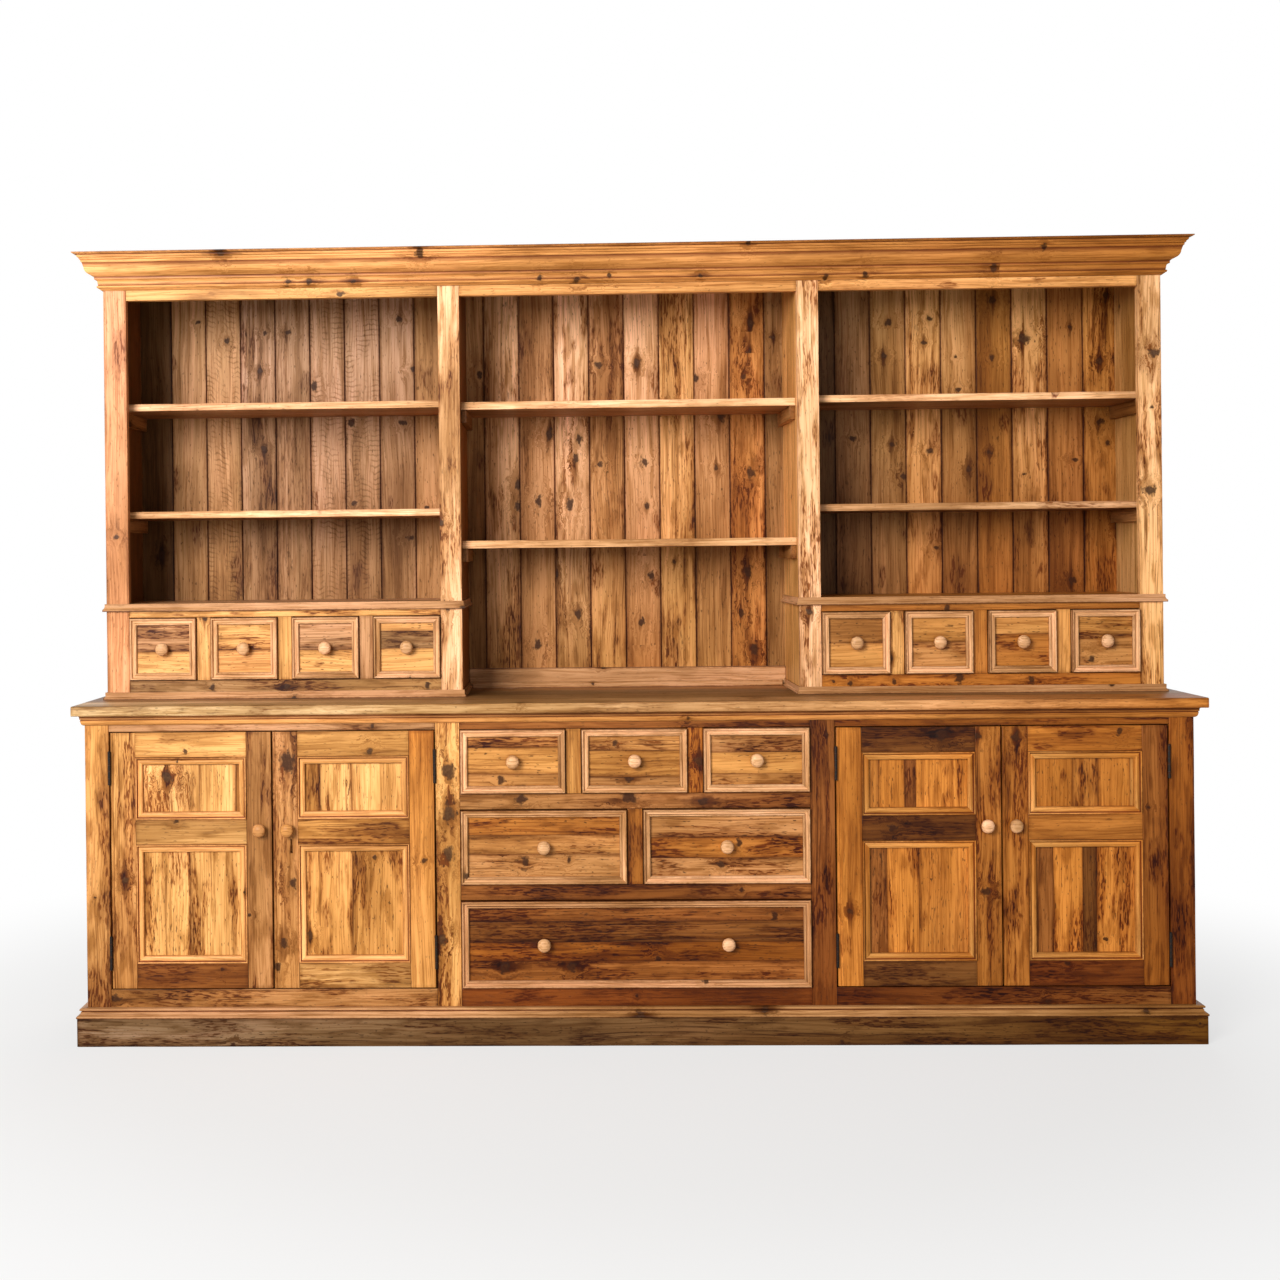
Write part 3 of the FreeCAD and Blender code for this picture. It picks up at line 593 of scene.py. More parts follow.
    # Saw marks across the grain, at a slant that differs from board to board
    saw_slant = node("Math", look_c, 0.5, 0.05, operation="MULTIPLY_ADD")
    saw_along = node("Math", across, saw_slant, along, operation="MULTIPLY_ADD")
    saw_along = node(
        "Math", patches(board_at, "saw_sway"), 50 * MM, saw_along, operation="MULTIPLY_ADD")
    saw_bands = node(
        "TexWave", node("CombineXYZ", saw_along), out="Fac", wave_type="BANDS", bands_direction="X",
        wave_profile="SIN", inputs={"Scale": wave_scale(SAW_PITCH_MM), "Distortion": 0.0})
    sawn = where_all(
        node("MapRange", saw_bands, 0.6, 1.0, **SMOOTH),
        node("MapRange", saw_places, 0.42, 0.62, **SMOOTH), saw_share)

    # The second smallest distance to a side of the board's box is the distance to its nearest edge
    off_middle = node("VectorMath", fact["board_at"], operation="ABSOLUTE")
    gap_a, gap_b, gap_c = node("SeparateXYZ", node(
        "VectorMath", fact["board_half"], off_middle, operation="SUBTRACT")).node.outputs
    nearer = node("Math", gap_a, gap_b, operation="MINIMUM")
    farther = node("Math", gap_a, gap_b, operation="MAXIMUM")
    to_edge = node(
        "Math", nearer, node("Math", farther, gap_c, operation="MINIMUM"), operation="MAXIMUM")
    wavy = node("Math", wobble, 6 * MM, -3 * MM, operation="MULTIPLY_ADD")
    to_wavy_edge = node("Math", to_edge, wavy, operation="ADD")
    # Grime, and painted contact shade where parts meet, in a band along each edge
    grime_and_shade_band = where_all(
        node("MapRange", to_wavy_edge, edge_grime_and_shade_mm * MM, 0.0, **SMOOTH),
        node("MapRange", clouds, 0.38, 0.6, 0.3, **SMOOTH))
    to_gap = node("Math", wobble, 1.6 * MM, to_edge, operation="MULTIPLY_ADD")

    stain_black = (*tone("stain"), 1)
    knot_brown = node("Mix", **COLOUR_MIX, blend_type="MIX", inputs={
        MIX_FACTOR: where_all(patches(board_at, "knot_heart"), 0.12),
        MIX_UNDER: (*tone("knot"), 1), MIX_OVER: tint})
    streaky = node("MapRange", middling, 0.42, 0.6, **SMOOTH)

    # What changes the clear wood's colour, in the order in which it is laid on: how it is laid on,
    # its colour, what it follows, from which value to which it comes in, and how strong it is
    now = tint
    for blend, shade, follows, comes_in, strength in (
            ("MULTIPLY", PALE_LENGTH, drift, (0.52, 0.36), 1.0),
            ("MULTIPLY", dark(0.62, 0.7), drift, (0.48, 0.7), 1.0),
            ("MULTIPLY", dark(0.55, 0.8), mottle, (0.5, 0.66),
             node("Math", weather_share, 0.5, 0.3, operation="MULTIPLY_ADD")),
            ("MULTIPLY", dark(0.36), ringed, None, figure),
            ("MULTIPLY", dark(0.48), broad, (0.5, 0.7), streaks),
            ("MULTIPLY", PALE_STREAK, broad, (0.45, 0.3), streaks),
            ("MULTIPLY", dark(0.55), middling, (0.5, 0.68), streaks),
            ("MULTIPLY", PALE_GRAIN, middling, (0.45, 0.3), streaks),
            ("MULTIPLY", dark(0.5), fibre, (0.47, 0.62), 0.6),
            ("MULTIPLY", WORN_WOOD, worn, None, weather),
            ("MULTIPLY", WORN_DASH, where_all(worn, dashed), None, weather),
            ("MULTIPLY", dark(0.22), checked, None,
             node("Math", weather_share, 0.5 * weather, 0.2 * weather, operation="MULTIPLY_ADD")),
            ("MULTIPLY", STAINED_WOOD, stained, None,
             node("Math", dashed, 0.6, 0.4, operation="MULTIPLY_ADD")),
            ("MULTIPLY", dark(0.36, 0.6), sawn, None, 0.55),
            ("MIX", stain_black, pitted, None, 0.8),
            ("MULTIPLY", dark(0.5), knot_halo, None,
             node("Math", streaky, 0.6, 0.15, operation="MULTIPLY_ADD")),
            ("MULTIPLY", dark(0.3), middling, (0.47, 0.6), knot_tail),
            ("MIX", knot_brown, in_knot, None, 0.95),
            ("MIX", stain_black, knot_rim, None,
             node("Math", wobble, 1.6, -0.3, operation="MULTIPLY_ADD")),
            # Grime and painted contact shade in a band along the edges
            ("MULTIPLY", dark(0.34), grime_and_shade_band, None, joints),
            ("MULTIPLY", BLACK_GAP, to_gap, (3.2 * MM, 1.6 * MM), gaps),
            # Dark wax in the hollows, partly painted shade, and painted shade on faces darkened for it
            ("MULTIPLY", WAX_AND_SHADE_IN_HOLLOW, hollow, None, 0.95),
            # Paler rubbed edges, partly a painted highlight along the arrises
            ("MULTIPLY", PALE_EDGE_AND_HIGHLIGHT, to_wavy_edge, (4 * MM, 0.8 * MM), edges),
            # Darker end grain, and dust and painted shade on the faces darkened for them
            ("MULTIPLY", dark(0.4), end_grain, None, 0.75)):
        if comes_in:
            follows = node("MapRange", follows, *comes_in, **SMOOTH)
        now = node("Mix", **COLOUR_MIX, blend_type=blend, inputs={
            MIX_FACTOR: where_all(follows, strength), MIX_UNDER: now, MIX_OVER: shade})

    gloss = node("Math", clouds, 0.22, roughness - 0.11, operation="MULTIPLY_ADD")
    gloss = node("Math", pitted, 0.3, gloss, operation="MULTIPLY_ADD")
    height = 0.0
    for mark, rise in ((fibre, 0.35), (ringed, -0.25), (pitted, -1.4), (in_knot, 0.5), (sawn, -1.1)):
        height = node("Math", mark, rise, height, operation="MULTIPLY_ADD")
    bumped = node("Bump", inputs={"Height": height, "Strength": relief, "Distance": 0.9 * MM})

    # Wax over pine: a soft, narrow shine from a thin coat and little from the wood itself
    surface = node("BsdfPrincipled", inputs={
        "Base Color": now, "Roughness": gloss, "Normal": bumped,
        "Specular IOR Level": 0.1, "Coat Weight": 0.03, "Coat Roughness": 0.35})
    node("OutputMaterial", surface)
    return material


def blackened_iron():
    """Hot-rolled iron with a worn black finish: dark, faintly brown, with a dull sheen on high spots."""
    material = bpy.data.materials.new("blackened_hinge_iron")
    node = functools.partial(add, emptied(material))
    place = node("TexCoord", out="Object")
    blooms = node("TexNoise", place, inputs={"Scale": 1 / (RUST_BLOOM_MM * MM), "Detail": 4.0})
    scratches = node("TexNoise", place, inputs={"Scale": 1 / (SCRATCH_MM * MM), "Detail": 2.0})
    rusty = node("MapRange", blooms, 0.52, 0.7)
    base = node("Mix", **COLOUR_MIX, inputs={
        MIX_FACTOR: rusty, MIX_UNDER: (*tone("iron"), 1), MIX_OVER: (*tone("rust"), 1)})
    shine = node("MapRange", blooms, 0.3, 0.7, 0.38, 0.62)
    bumped = node("Bump", inputs={"Height": scratches, "Strength": 0.35, "Distance": 0.15 * MM})
    surface = node("BsdfPrincipled", inputs={
        "Base Color": base, "Roughness": shine, "Normal": bumped, "Metallic": 0.85})
    node("OutputMaterial", surface)
    return material


def make_materials():
    """All the finishes, by name."""
    return {
        # Old planed boards under many coats of wax: mellow orange browns, dark worn places and
        # streaks, paler rubbed edges that are partly a painted highlight, grime and painted contact
        # shade along the edges, and a soft shine
        "front": pine(
            "waxed_reclaimed_pine_front", figure=0.4, streaks=0.55, weather=0.9, edges=0.4,
            joints=0.6, gaps=0.15),
        # The same wood planed and glued up flat for panels and drawer fronts: more shine, wider
        # figure, and dirt and painted contact shade where it meets its moulding
        "field": pine(
            "waxed_pine_fields", figure=0.5, streaks=0.4, weather=1.0, pits=0.9, edges=0.0,
            joints=0.8, gaps=0.4, roughness=0.38, ring_mm=12.0),
        # Newer machine-planed strips: even, pinker and straight of grain, with dark wax and painted
        # shade in the hollows and along their joint lines
        "moulding": pine(
            "planed_pine_moulding", figure=0.25, streaks=0.35, weather=0.3, pits=0.3, edges=0.0,
            joints=0.85, edge_grime_and_shade_mm=5.0, gaps=0.6, roughness=0.4, relief=0.25, ring_mm=6.0),
        # Tongued boards that were never waxed: dull, greyed and sooty, with black joint lines
        "back": pine(
            "aged_pine_back_boards", figure=0.35, streaks=0.75, weather=0.8, pits=0.7, edges=0.0,
            joints=0.7, gaps=1.0, roughness=0.58),
        # Boards straight from the saw, long near the floor: rough, dark and matt
        "plinth": pine(
            "rough_sawn_pine_plinth", figure=0.4, streaks=0.8, weather=1.0, pits=0.8, edges=0.2,
            joints=0.7, roughness=0.72, relief=0.9),
        # Bare planed pine inside cupboards and drawers: paler and matt, little marked
        "inside": pine(
            "unfinished_pine_inside", figure=0.45, streaks=0.4, weather=0.3, pits=0.4, edges=0.15,
            joints=0.3, roughness=0.65, ring_mm=7.0),
        # Knobs turned from new pine and polished by hands: pale, smooth and the shiniest
        "knob": pine(
            "turned_pine_knob", figure=0.35, streaks=0.25, weather=0.0, pits=0.0, edges=0.0,
            joints=0.0, gaps=0.0, roughness=0.34, relief=0.15, ring_mm=4.0),
        "iron": blackened_iron()}


finishes = {}

# One word for each solid of a node, in the order in which the solids were made: a colour, or the
# colours at its low and high ends, then letters for w weathered, s saw-marked or r strongly ringed.
# The colours run darker towards the right, partly as painted shade for light that falls off from the
# left, as the worktop's front board does from ivory to caramel
TONES = {
    "base_face_frame": (
        "honey/w ochre>maize/w chestnut>russet/w chestnut>sienna/w  rose/w ochre/w  russet/w chestnut "
        "sienna/w chestnut>umber/w  ochre>russet/w russet/w  amber caramel/w toffee/w"),
    "upper_face_frame": (
        "cream/w apricot  honey honey/w smoke>tan/w  cream/w honey>cream/w  "
        "peach toffee caramel/w  peach  honey honey rose  honey/w toffee amber/w"),
    "door_1_frame": "bran>honey/w ochre/w russet wheat/w honey",
    "door_2_frame": "bran>ochre/w amber>caramel wheat/w amber/w honey",
    "door_3_frame": "caramel toffee/w treacle umber/w umber/w",
    "door_4_frame": "toffee/w sienna>russet/w chestnut/w toffee caramel/w",
    "worktop": "ivory>caramel smoke stone ochre",
    "plinth": "bark>cocoa/w bark/w cocoa/w",
    "base_uprights": "ochre raw toffee raw",
    "upper_uprights": "ochre caramel wheat honey",
    "upper_shelves": (
        "rose rose ochre cream cream  toffee toffee toffee blush cream  cream cream ochre"),
    "base_floors_and_shelves": "raw",
    "drawer_runners": "raw",
    "cleats_and_stops": "ochre",
    "base_back_boards": "stone tan wheat",
    # The first back board of each bay is darker, partly painted shade from the upright on its left
    "upper_back_boards": (
        "soot smoke smoke/s smoke>ash/w smoke>ash smoke>ash/s smoke>ash/s smoke>ash smoke "
        "smoke>clay tan>blush/w clay>rose tan>blush/w wheat>rose/w fox>blush wheat/w tan>rose/r fox/w "
        "smoke "
        "soot umber>smoke umber>tan toffee>wheat/w sienna>tan sienna>tawny toffee>wheat/w sienna>fox "
        "sienna>tawny/w"),
    "boxes": "raw",
}
MOULDING_TONES = {
    "plinth": "rose>clay rose russet",
    "cornice": "peach>toffee peach toffee",
    "worktop_moulding": "peach>toffee peach toffee",
    "upper_mouldings": "rose",
    "door_1": "peach",
    "door_2": "peach",
    "door_3": "amber>caramel",
    "door_4": "amber>caramel",
    "small_drawer_left": "blush",
    "small_drawer_right": "blush",
    "top_drawer": "blush",
    "middle_drawer": "blush",
    "bottom_drawer": "rose",
}
# Faces darkened by dust and painted shade: the upper shelves' undersides and the first two rack
# uprights' right-facing sides as painted shade where the light misses them, and the worktop's top. For
# each: the way they look, which solids of the node, and by how much
DUST_AND_SHADE_FACES = {
    "upper_shelves": (Vector((0, 0, -1)), range(13), 1.0),
    "upper_uprights": (Vector((1, 0, 0)), range(2), 0.9),
    "worktop": (Vector((0, 0, 1)), range(4), 0.45),
}
# What the back boards' colours are multiplied by at the foot and at the head: painted shade
# darkens the foot and painted light brightens the head
FOOT_SHADE = Vector((0.84, 0.72, 0.56))
HEAD_SHADE = Vector((1.14, 1.15, 1.22))
KNOB_WOODS = {"door_1": "ochre", "door_2": "bran"}
# Boards of a field from left to right or from the foot up, with the share at which each joint lies
FIELDS = {
    "door_1": ("honey/w .48 honey/w", "honey/w .57 honey .9 amber"),
    "door_2": ("maize/w .48 amber/w", "amber/w .2 honey/w .48 honey"),
    "door_3": (
        "russet/wr .22 caramel/w .5 toffee>caramel", "toffee .15 caramel .38 russet .48 caramel/wr"),
    "door_4": (
        "russet/w .22 caramel/w .48 umber .6 caramel/w", "caramel .4 toffee/w .62 caramel .9 amber"),
    "top_drawer_1": "bran .3 amber .72 bran/w",
    "top_drawer_2": "ochre .24 amber .66 bran/w",
    "top_drawer_3": "bran/w .28 amber .62 ochre/w",
    "middle_drawer_1": "ochre/w .4 bran .66 toffee/w",
    "middle_drawer_2": "ochre/w .34 toffee/w .62 ochre/w",
    "bottom_drawer_1": "russet/rw .3 sienna/rw .52 umber/rw .76 russet/rw",
    "small_drawer_left_1": "honey .46 rose/w",
    "small_drawer_left_2": "peach .48 honey/w",
    "small_drawer_left_3": "honey .47 rose/w",
    "small_drawer_left_4": "honey .48 smoke/w .76 honey",
    "small_drawer_right_1": "amber .5 bran",
    "small_drawer_right_2": "bran/w .5 amber",
    "small_drawer_right_3": "toffee/w .62 amber",
    "small_drawer_right_4": "bran/w .6 amber/w",
}

# The enlarged parts of the photograph in which marks were read: left and top pixel, enlargement
LEFT_CORNICE, RIGHT_CORNICE = (60, 225, 2.703), (630, 225, 2.703)
LEFT_BAY, MIDDLE_BAY, RIGHT_BAY = (125, 290, 4.68), (460, 285, 3.871), (815, 280, 4.48)
LEFT_SMALL_DRAWERS, RIGHT_SMALL_DRAWERS = (95, 590, 4.181), (795, 590, 4.126)
LEFT_DOORS, DRAWERS, RIGHT_DOORS = (100, 700, 4.356), (455, 700, 4.126), (825, 700, 4.021)

# The upright planes on which the marks lie
BASE_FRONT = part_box("base_face_frame")[0][Y]
RACK_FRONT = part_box("upper_face_frame")[0][Y]
BACK_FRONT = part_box("upper_back_boards")[0][Y]
# How far in millimetres the foot, the cove and the lip of the cornice stand out from the rack
CORNICE_FOOT, CORNICE_COVE, CORNICE_LIP = (RACK_FRONT - out * MM for out in (22, 47, 62))


def camera_axes():
    """Directions to the right of, above and ahead of the camera."""
    level = Vector((math.sin(CAMERA_YAW), math.cos(CAMERA_YAW), 0))
    ahead = level * math.cos(CAMERA_PITCH) + Vector((0, 0, math.sin(CAMERA_PITCH)))
    up = Vector((0, 0, math.cos(CAMERA_PITCH))) - level * math.sin(CAMERA_PITCH)
    side = Vector((math.cos(CAMERA_YAW), -math.sin(CAMERA_YAW), 0))
    return (side * math.cos(CAMERA_ROLL) + up * math.sin(CAMERA_ROLL),
            up * math.cos(CAMERA_ROLL) - side * math.sin(CAMERA_ROLL), ahead)


def seen_at(across, down, plane):
    """The point of an upright plane that a pixel of the photograph shows."""
    side, up, ahead = camera_axes()
    ray = (ahead * CAMERA_LENS / CAMERA_SENSOR + side * (across / PHOTO_SIDE - 0.5 + CAMERA_SHIFT_X)
           + up * (0.5 - down / PHOTO_SIDE + CAMERA_SHIFT_Y))
    return CAMERA_PLACE + ray * ((plane - CAMERA_PLACE.y) / ray.y)


def marks_of(readings):
    """Knots (k) and stains (s), read as pixels across and down a part and a radius in millimetres."""
    found = {"k": [], "s": []}
    for (left, top, enlargement), plane, text in readings:
        for mark in text.split():
            across, down, size = mark.split(",")
            spot = seen_at(left + float(across) / enlargement, top + float(down) / enlargement, plane)
            found[size[-1]].append((round(spot.x, 3), round(spot.z, 3), float(size[:-1]) * MM))
    return {"knots": sorted(found["k"]), "stains": sorted(found["s"])}


FRONT_MARKS = marks_of((
    (LEFT_DOORS, BASE_FRONT,
     "815,270,17k 840,795,8k 800,1060,9k 775,1165,8k 110,785,7k 1175,225,9k 1520,310,13k "
     "1520,490,13k 1520,670,13k 1490,1045,9k 1495,745,6k 330,700,30s 400,1000,25s 370,400,30s "
     "290,340,10k 990,700,14s 985,930,16s 1115,700,16s 915,1030,6k 925,380,20s 1230,560,22s "
     "1270,1180,28s 290,180,18s 300,1180,45s 280,1300,35s 65,1300,7k 20,430,20s 20,900,22s "
     "75,1040,25s"),
    (DRAWERS, BASE_FRONT,
     "270,410,10k 720,400,12k 1025,420,8k 1400,420,25s 370,790,30s 1060,790,25s 1380,790,18s "
     "740,600,20s 1005,250,10k 510,605,24s 290,670,12k 470,660,7k 1100,680,8k 1400,590,22s "
     "870,700,22s 190,330,10k 120,190,25s 715,325,8k 590,200,22s 820,180,14s 1200,190,30s "
     "1120,330,16s 1385,330,12s 800,930,42s 205,1105,12k 485,1100,11k 838,1075,10k 1320,890,9k "
     "100,940,28s 1020,1050,20s 1530,740,16s 300,1220,20s 700,1200,12s"),
    (RIGHT_DOORS, BASE_FRONT,
     "470,140,13k 170,160,25s 615,145,8k 650,770,10k 100,850,8k 380,500,26s 550,530,14s "
     "270,515,8k 355,620,18s 230,800,30s 400,880,14s 520,980,14s 350,320,22s 455,370,12s "
     "500,270,14s 300,1090,50s 765,150,9k 740,240,14s 760,860,22s 1000,130,18s 860,190,10s "
     "1320,640,22s 1070,950,22s 1200,850,20s 1200,640,18s 1130,965,5k 1090,310,26s 960,310,8s "
     "950,1090,35s 1420,560,14s 1430,900,28s 620,1180,45s"),
    (LEFT_SMALL_DRAWERS, RACK_FRONT,
     "240,185,12s 645,240,10s 630,310,9s 905,190,12s 890,240,14s 930,310,8s 1240,220,18s "
     "490,408,8k 800,408,8k 1390,400,9k 230,410,10s 350,100,6s 590,100,6s 910,100,8s"),
    (RIGHT_SMALL_DRAWERS, RACK_FRONT,
     "900,240,16s 1225,285,10k 1190,290,8s 1270,150,8s 230,385,8k 160,378,5k 680,365,12k "
     "975,370,9k 410,380,6k 60,90,8k 60,320,10s"),
    (RIGHT_BAY, RACK_FRONT, "1520,325,14k 1500,940,15k 1500,240,6k 1460,400,5k 1510,570,5k"),
    (LEFT_CORNICE, CORNICE_LIP, "432,72,9k 970,72,12k"),
    (LEFT_CORNICE, CORNICE_FOOT,
     "615,152,8k 672,152,8k 793,150,6k 995,152,8k 1297,140,7k 1397,147,8k 1485,135,6k"),
    (RIGHT_CORNICE, CORNICE_FOOT, "190,135,5k 530,140,7k 638,132,8k 985,115,9k"),
    (RIGHT_CORNICE, CORNICE_COVE, "1120,60,8k 318,50,7k"),
    (RIGHT_CORNICE, RACK_FRONT, "860,158,10s 1100,150,8s"),
    (LEFT_CORNICE, RACK_FRONT, "755,186,6k 410,186,10s")))
BACK_MARKS = marks_of((
    (LEFT_BAY, BACK_FRONT,
     "850,430,16s 880,990,16s 700,790,22s 690,960,22s 700,1290,24s 690,1385,14s 345,150,6k "
     "655,200,6k 630,380,7k 545,220,14s 1285,135,8k 1350,370,8k 1300,620,8k 650,740,8k "
     "1340,1160,9k 230,350,8s 475,240,6k 240,900,14s 555,480,14s 160,1260,10s 560,1350,16s "
     "1240,1000,8s 1200,1280,7k 1410,420,20s 340,1130,20s"),
    (MIDDLE_BAY, BACK_FRONT,
     "75,345,8k 225,390,18s 230,600,18s 225,770,8k 225,855,8k 215,930,14s 75,680,12s "
     "230,170,10s 230,240,24s 430,350,14s 440,230,10s 345,575,9k 305,835,9k 460,595,7k "
     "450,670,7k 425,850,9k 487,880,9k 535,310,9k 540,695,7k 685,300,9k 755,350,22s 715,685,7k "
     "725,855,6k 770,900,16s 830,290,8s 910,360,8k 895,930,18s 805,880,8s 1010,510,10k "
     "990,710,6k 1125,145,8k 1155,85,16s 1120,265,6k 1100,355,6k 1220,380,18s 1125,725,9k "
     "1165,690,16s 1165,900,9s 1095,950,8s 458,1275,8k 375,1120,5k 300,1395,9k 700,1305,7k "
     "705,1385,7k 715,1055,7k 740,1125,8k 760,1160,12s 840,1300,8s 830,1420,18s 900,1450,14s "
     "1115,1110,8k 1090,1270,7k 1140,1410,9k 210,1290,10s"),
    (RIGHT_BAY, BACK_FRONT,
     "330,190,9k 310,340,7k 400,310,6k 540,430,20s 540,250,20s 515,175,8k 490,280,6k 630,345,5k "
     "645,490,7k 790,90,9k 790,345,7k 940,265,16k 1005,410,14s 915,455,12s 1140,210,5k "
     "1300,65,5k 1275,365,7k 1330,345,8s 1255,460,8s 165,710,7k 345,735,7k 310,875,7k "
     "400,880,9k 440,790,14s 540,715,20s 515,765,9k 540,905,10s 660,590,20s 690,850,8k "
     "780,770,6k 850,630,14s 765,930,22s 935,870,5k 1070,970,10s 1165,805,8k 1275,635,7k "
     "1310,730,7k 1300,945,10s 60,680,16s 400,1140,10s 460,1200,10s 540,1140,22s 545,1200,8k "
     "300,1310,10s 640,1340,26s 960,1140,16s 900,1070,12s 1010,1290,14s 1155,1345,10k "
     "1280,1080,6k 1360,1105,9k 1130,1060,8s 1220,1150,8s 130,1370,9s")))


class Kind:
    """What a word of the tables says of a board."""

    def __init__(self, word):
        names, _, self.looks = word.partition("/")
        self.tones = names.split(">")


def kinds_of(text):
    """What each word of a table's row says."""
    return [Kind(word) for word in text.split()]


# Darkening past this share also darkens as wax in a hollow does; on the shaded faces this is painted
# shade as well
FACE_DARKENING_ALONE = 0.5


def dull(bm, facing, amount):
    """Marks the faces that look one way as darkened by dust and by painted shade."""
    shade_and_end_layer, hollow = board_layers(bm)[2:]
    for face in bm.faces:
        if face.normal.dot(facing) > SQUARE_ON:
            face[shade_and_end_layer] = amount
            for corner in face.loops:
                corner[hollow] = max(0.0, amount - FACE_DARKENING_ALONE)


def dress_boards(node, kinds, knots=1.2, stains=0.3, grain=None, marks=FRONT_MARKS, tongued=False,
                 shaded_foot_lit_head=False):
    """The solids of a node as worn boards, with so many knots and stains a metre where none is read."""
    sizes = bpy.context.scene.hutch_sizes
    solids = solids_of(node)
    for i, bm in enumerate(solids):
        rng = random.Random("%s %d" % (node, i))
        low, high = box_of(bm)
        if tongued:
            front = [v.co.x for v in bm.verts if v.co.y < low.y + MERGE_DISTANCE]
            low.x, high.x = min(front), max(front)
        board = Board(low, high, kinds[i % len(kinds)], rng, grain, knots, stains, marks)
        # Painted shade at the back boards' foot and painted light at their head
        if shaded_foot_lit_head:
            board.tints = [board.tints[0] * FOOT_SHADE, board.tints[-1] * HEAD_SHADE]
        soften(bm, sizes.arris)
        along = board.order[0]
        run = high[along] - low[along]
        count = max(1, int(run / sizes.wear_pitch))
        cut_at(bm, along, [low[along] + run * (j + rng.uniform(-WEAR_JITTER, WEAR_JITTER)) / count
                           for j in range(1, count)])
        wear_down(bm, sizes.wear, rng.random())
        if (node, i) in SPECIAL:
            SPECIAL[node, i](bm, low, high)
        bm.normal_update()
        board.label(bm, bm.faces)
        # Dust and painted shade on the faces that this node lists
        facing, numbers, amount = DUST_AND_SHADE_FACES.get(node, (None, (), 0.0))
        if i in numbers:
            dull(bm, facing, amount)
    return solids


def dress_mouldings(solids, kinds, seed, knots=0.4):
    """Planed mouldings, kept as they were cut."""
    for i, bm in enumerate(solids):
        rng = random.Random("%s moulding %d" % (seed, i))
        low, high = box_of(bm)
        board = Board(low, high, kinds[i % len(kinds)], rng, None, knots, 0.0, FRONT_MARKS)
        along = board.order[0]
        run = high[along] - low[along]
        count = max(1, int(run / MOULDING_PITCH))
        cut_at(bm, along, [low[along] + run * j / count for j in range(1, count)])
        bm.normal_update()
        board.label(bm, bm.faces)
        mark_hollows(bm)
    return solids


def dress_field(bm, text, seed, split, grain):
    """A field glued up from several boards, which meet in lines across the split axis."""
    sizes = bpy.context.scene.hutch_sizes
    rng = random.Random(seed)
    low, high = box_of(bm)
    soften(bm, sizes.arris / 2)
    run = high[split] - low[split]
    words = text.split()
    kinds = [Kind(word) for word in words[::2]]
    shares = [0.0] + [float(word) for word in words[1::2]] + [1.0]
    cut_at(bm, split, [low[split] + run * s for s in shares[1:-1]])
    count = max(1, int((high[grain] - low[grain]) / sizes.wear_pitch))
    cut_at(bm, grain, [low[grain] + (high[grain] - low[grain]) * j / count for j in range(1, count)])
    bm.normal_update()
    for i, kind in enumerate(kinds):
        part_low, part_high = low.copy(), high.copy()
        part_low[split] = low[split] + run * shares[i]
        part_high[split] = low[split] + run * shares[i + 1]
        board = Board(
            part_low, part_high, kind, rng, grain, FIELD_KNOTS, FIELD_STAINS, FRONT_MARKS)
        faces = [f for f in bm.faces
                 if part_low[split] <= f.calc_center_median()[split] <= part_high[split]]
        board.label(bm, faces)
    return bm


def cut_bead(bm, low, high):
    """Sinks a quirk beside the left edge of a door's left stile, which leaves a bead."""
    sizes = bpy.context.scene.hutch_sizes
    start = low.x + sizes.bead
    middle = start + sizes.quirk / 2
    cut_at(bm, X, [start, middle, start + sizes.quirk])
    for v in bm.verts:
        if abs(v.co.x - middle) < MERGE_DISTANCE and v.co.y < low.y + sizes.wear + MERGE_DISTANCE:
            v.co.y += sizes.quirk


def cut_keyhole(bm, low, high):
    """Sinks a worn slot in the second door's left stile, narrow above and wide below."""
    cut_bead(bm, low, high)
    sizes = bpy.context.scene.hutch_sizes
    knob_low, knob_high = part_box("door_2_knob")
    knob = (knob_low + knob_high) / 2
    middle = knob.x + sizes.keyhole_shift
    top = knob.z - sizes.keyhole_drop
    waist = top - sizes.keyhole_height * KEYHOLE_WAIST
    foot = top - sizes.keyhole_height
    wide = sizes.keyhole_width / 2
    narrow = wide * KEYHOLE_NARROW
    cut_at(bm, X, [middle - wide, middle - narrow, middle + narrow, middle + wide])
    cut_at(bm, Z, [foot, waist, top])
    slot = []
    for face in bm.faces:
        place = face.calc_center_median()
        aside = abs(place.x - middle)
        inside = aside < narrow and waist < place.z < top or aside < wide and foot < place.z < waist
        if inside and place.y < low.y + sizes.wear * 2:
            slot.append(face)
    made = bmesh.ops.extrude_face_region(bm, geom=slot)["geom"]
    deep = [v for v in made if isinstance(v, bmesh.types.BMVert)]
    bmesh.ops.translate(bm, verts=deep, vec=(0, sizes.keyhole_depth, 0))
    bmesh.ops.delete(bm, geom=slot, context="FACES")


def cut_nick(bm, low, high):
    """Breaks a notch out of the front edge of the right bay's upper shelf."""
    sizes = bpy.context.scene.hutch_sizes
    middle = low.x + (high.x - low.x) * NICK_SHARE
    half = sizes.nick_width / 2
    cut_at(bm, X, [middle + half * share for share in NICK_CUTS])
    cut_at(bm, Y, [low.y + sizes.nick_depth])
    for v in bm.verts:
        aside = v.co.x - middle
        left, right = (half * share for share in NICK_FLOOR)
        if left < aside < right and v.co.y < low.y + sizes.nick_depth / 2:
            if v.co.z > high.z - NICK_SKIN:
                v.co.z -= sizes.nick_depth * (1.0 if aside > 0 else NICK_LEFT_DEPTH)
                for corner in v.link_loops:
                    corner[board_layers(bm)[3]] = 1.0


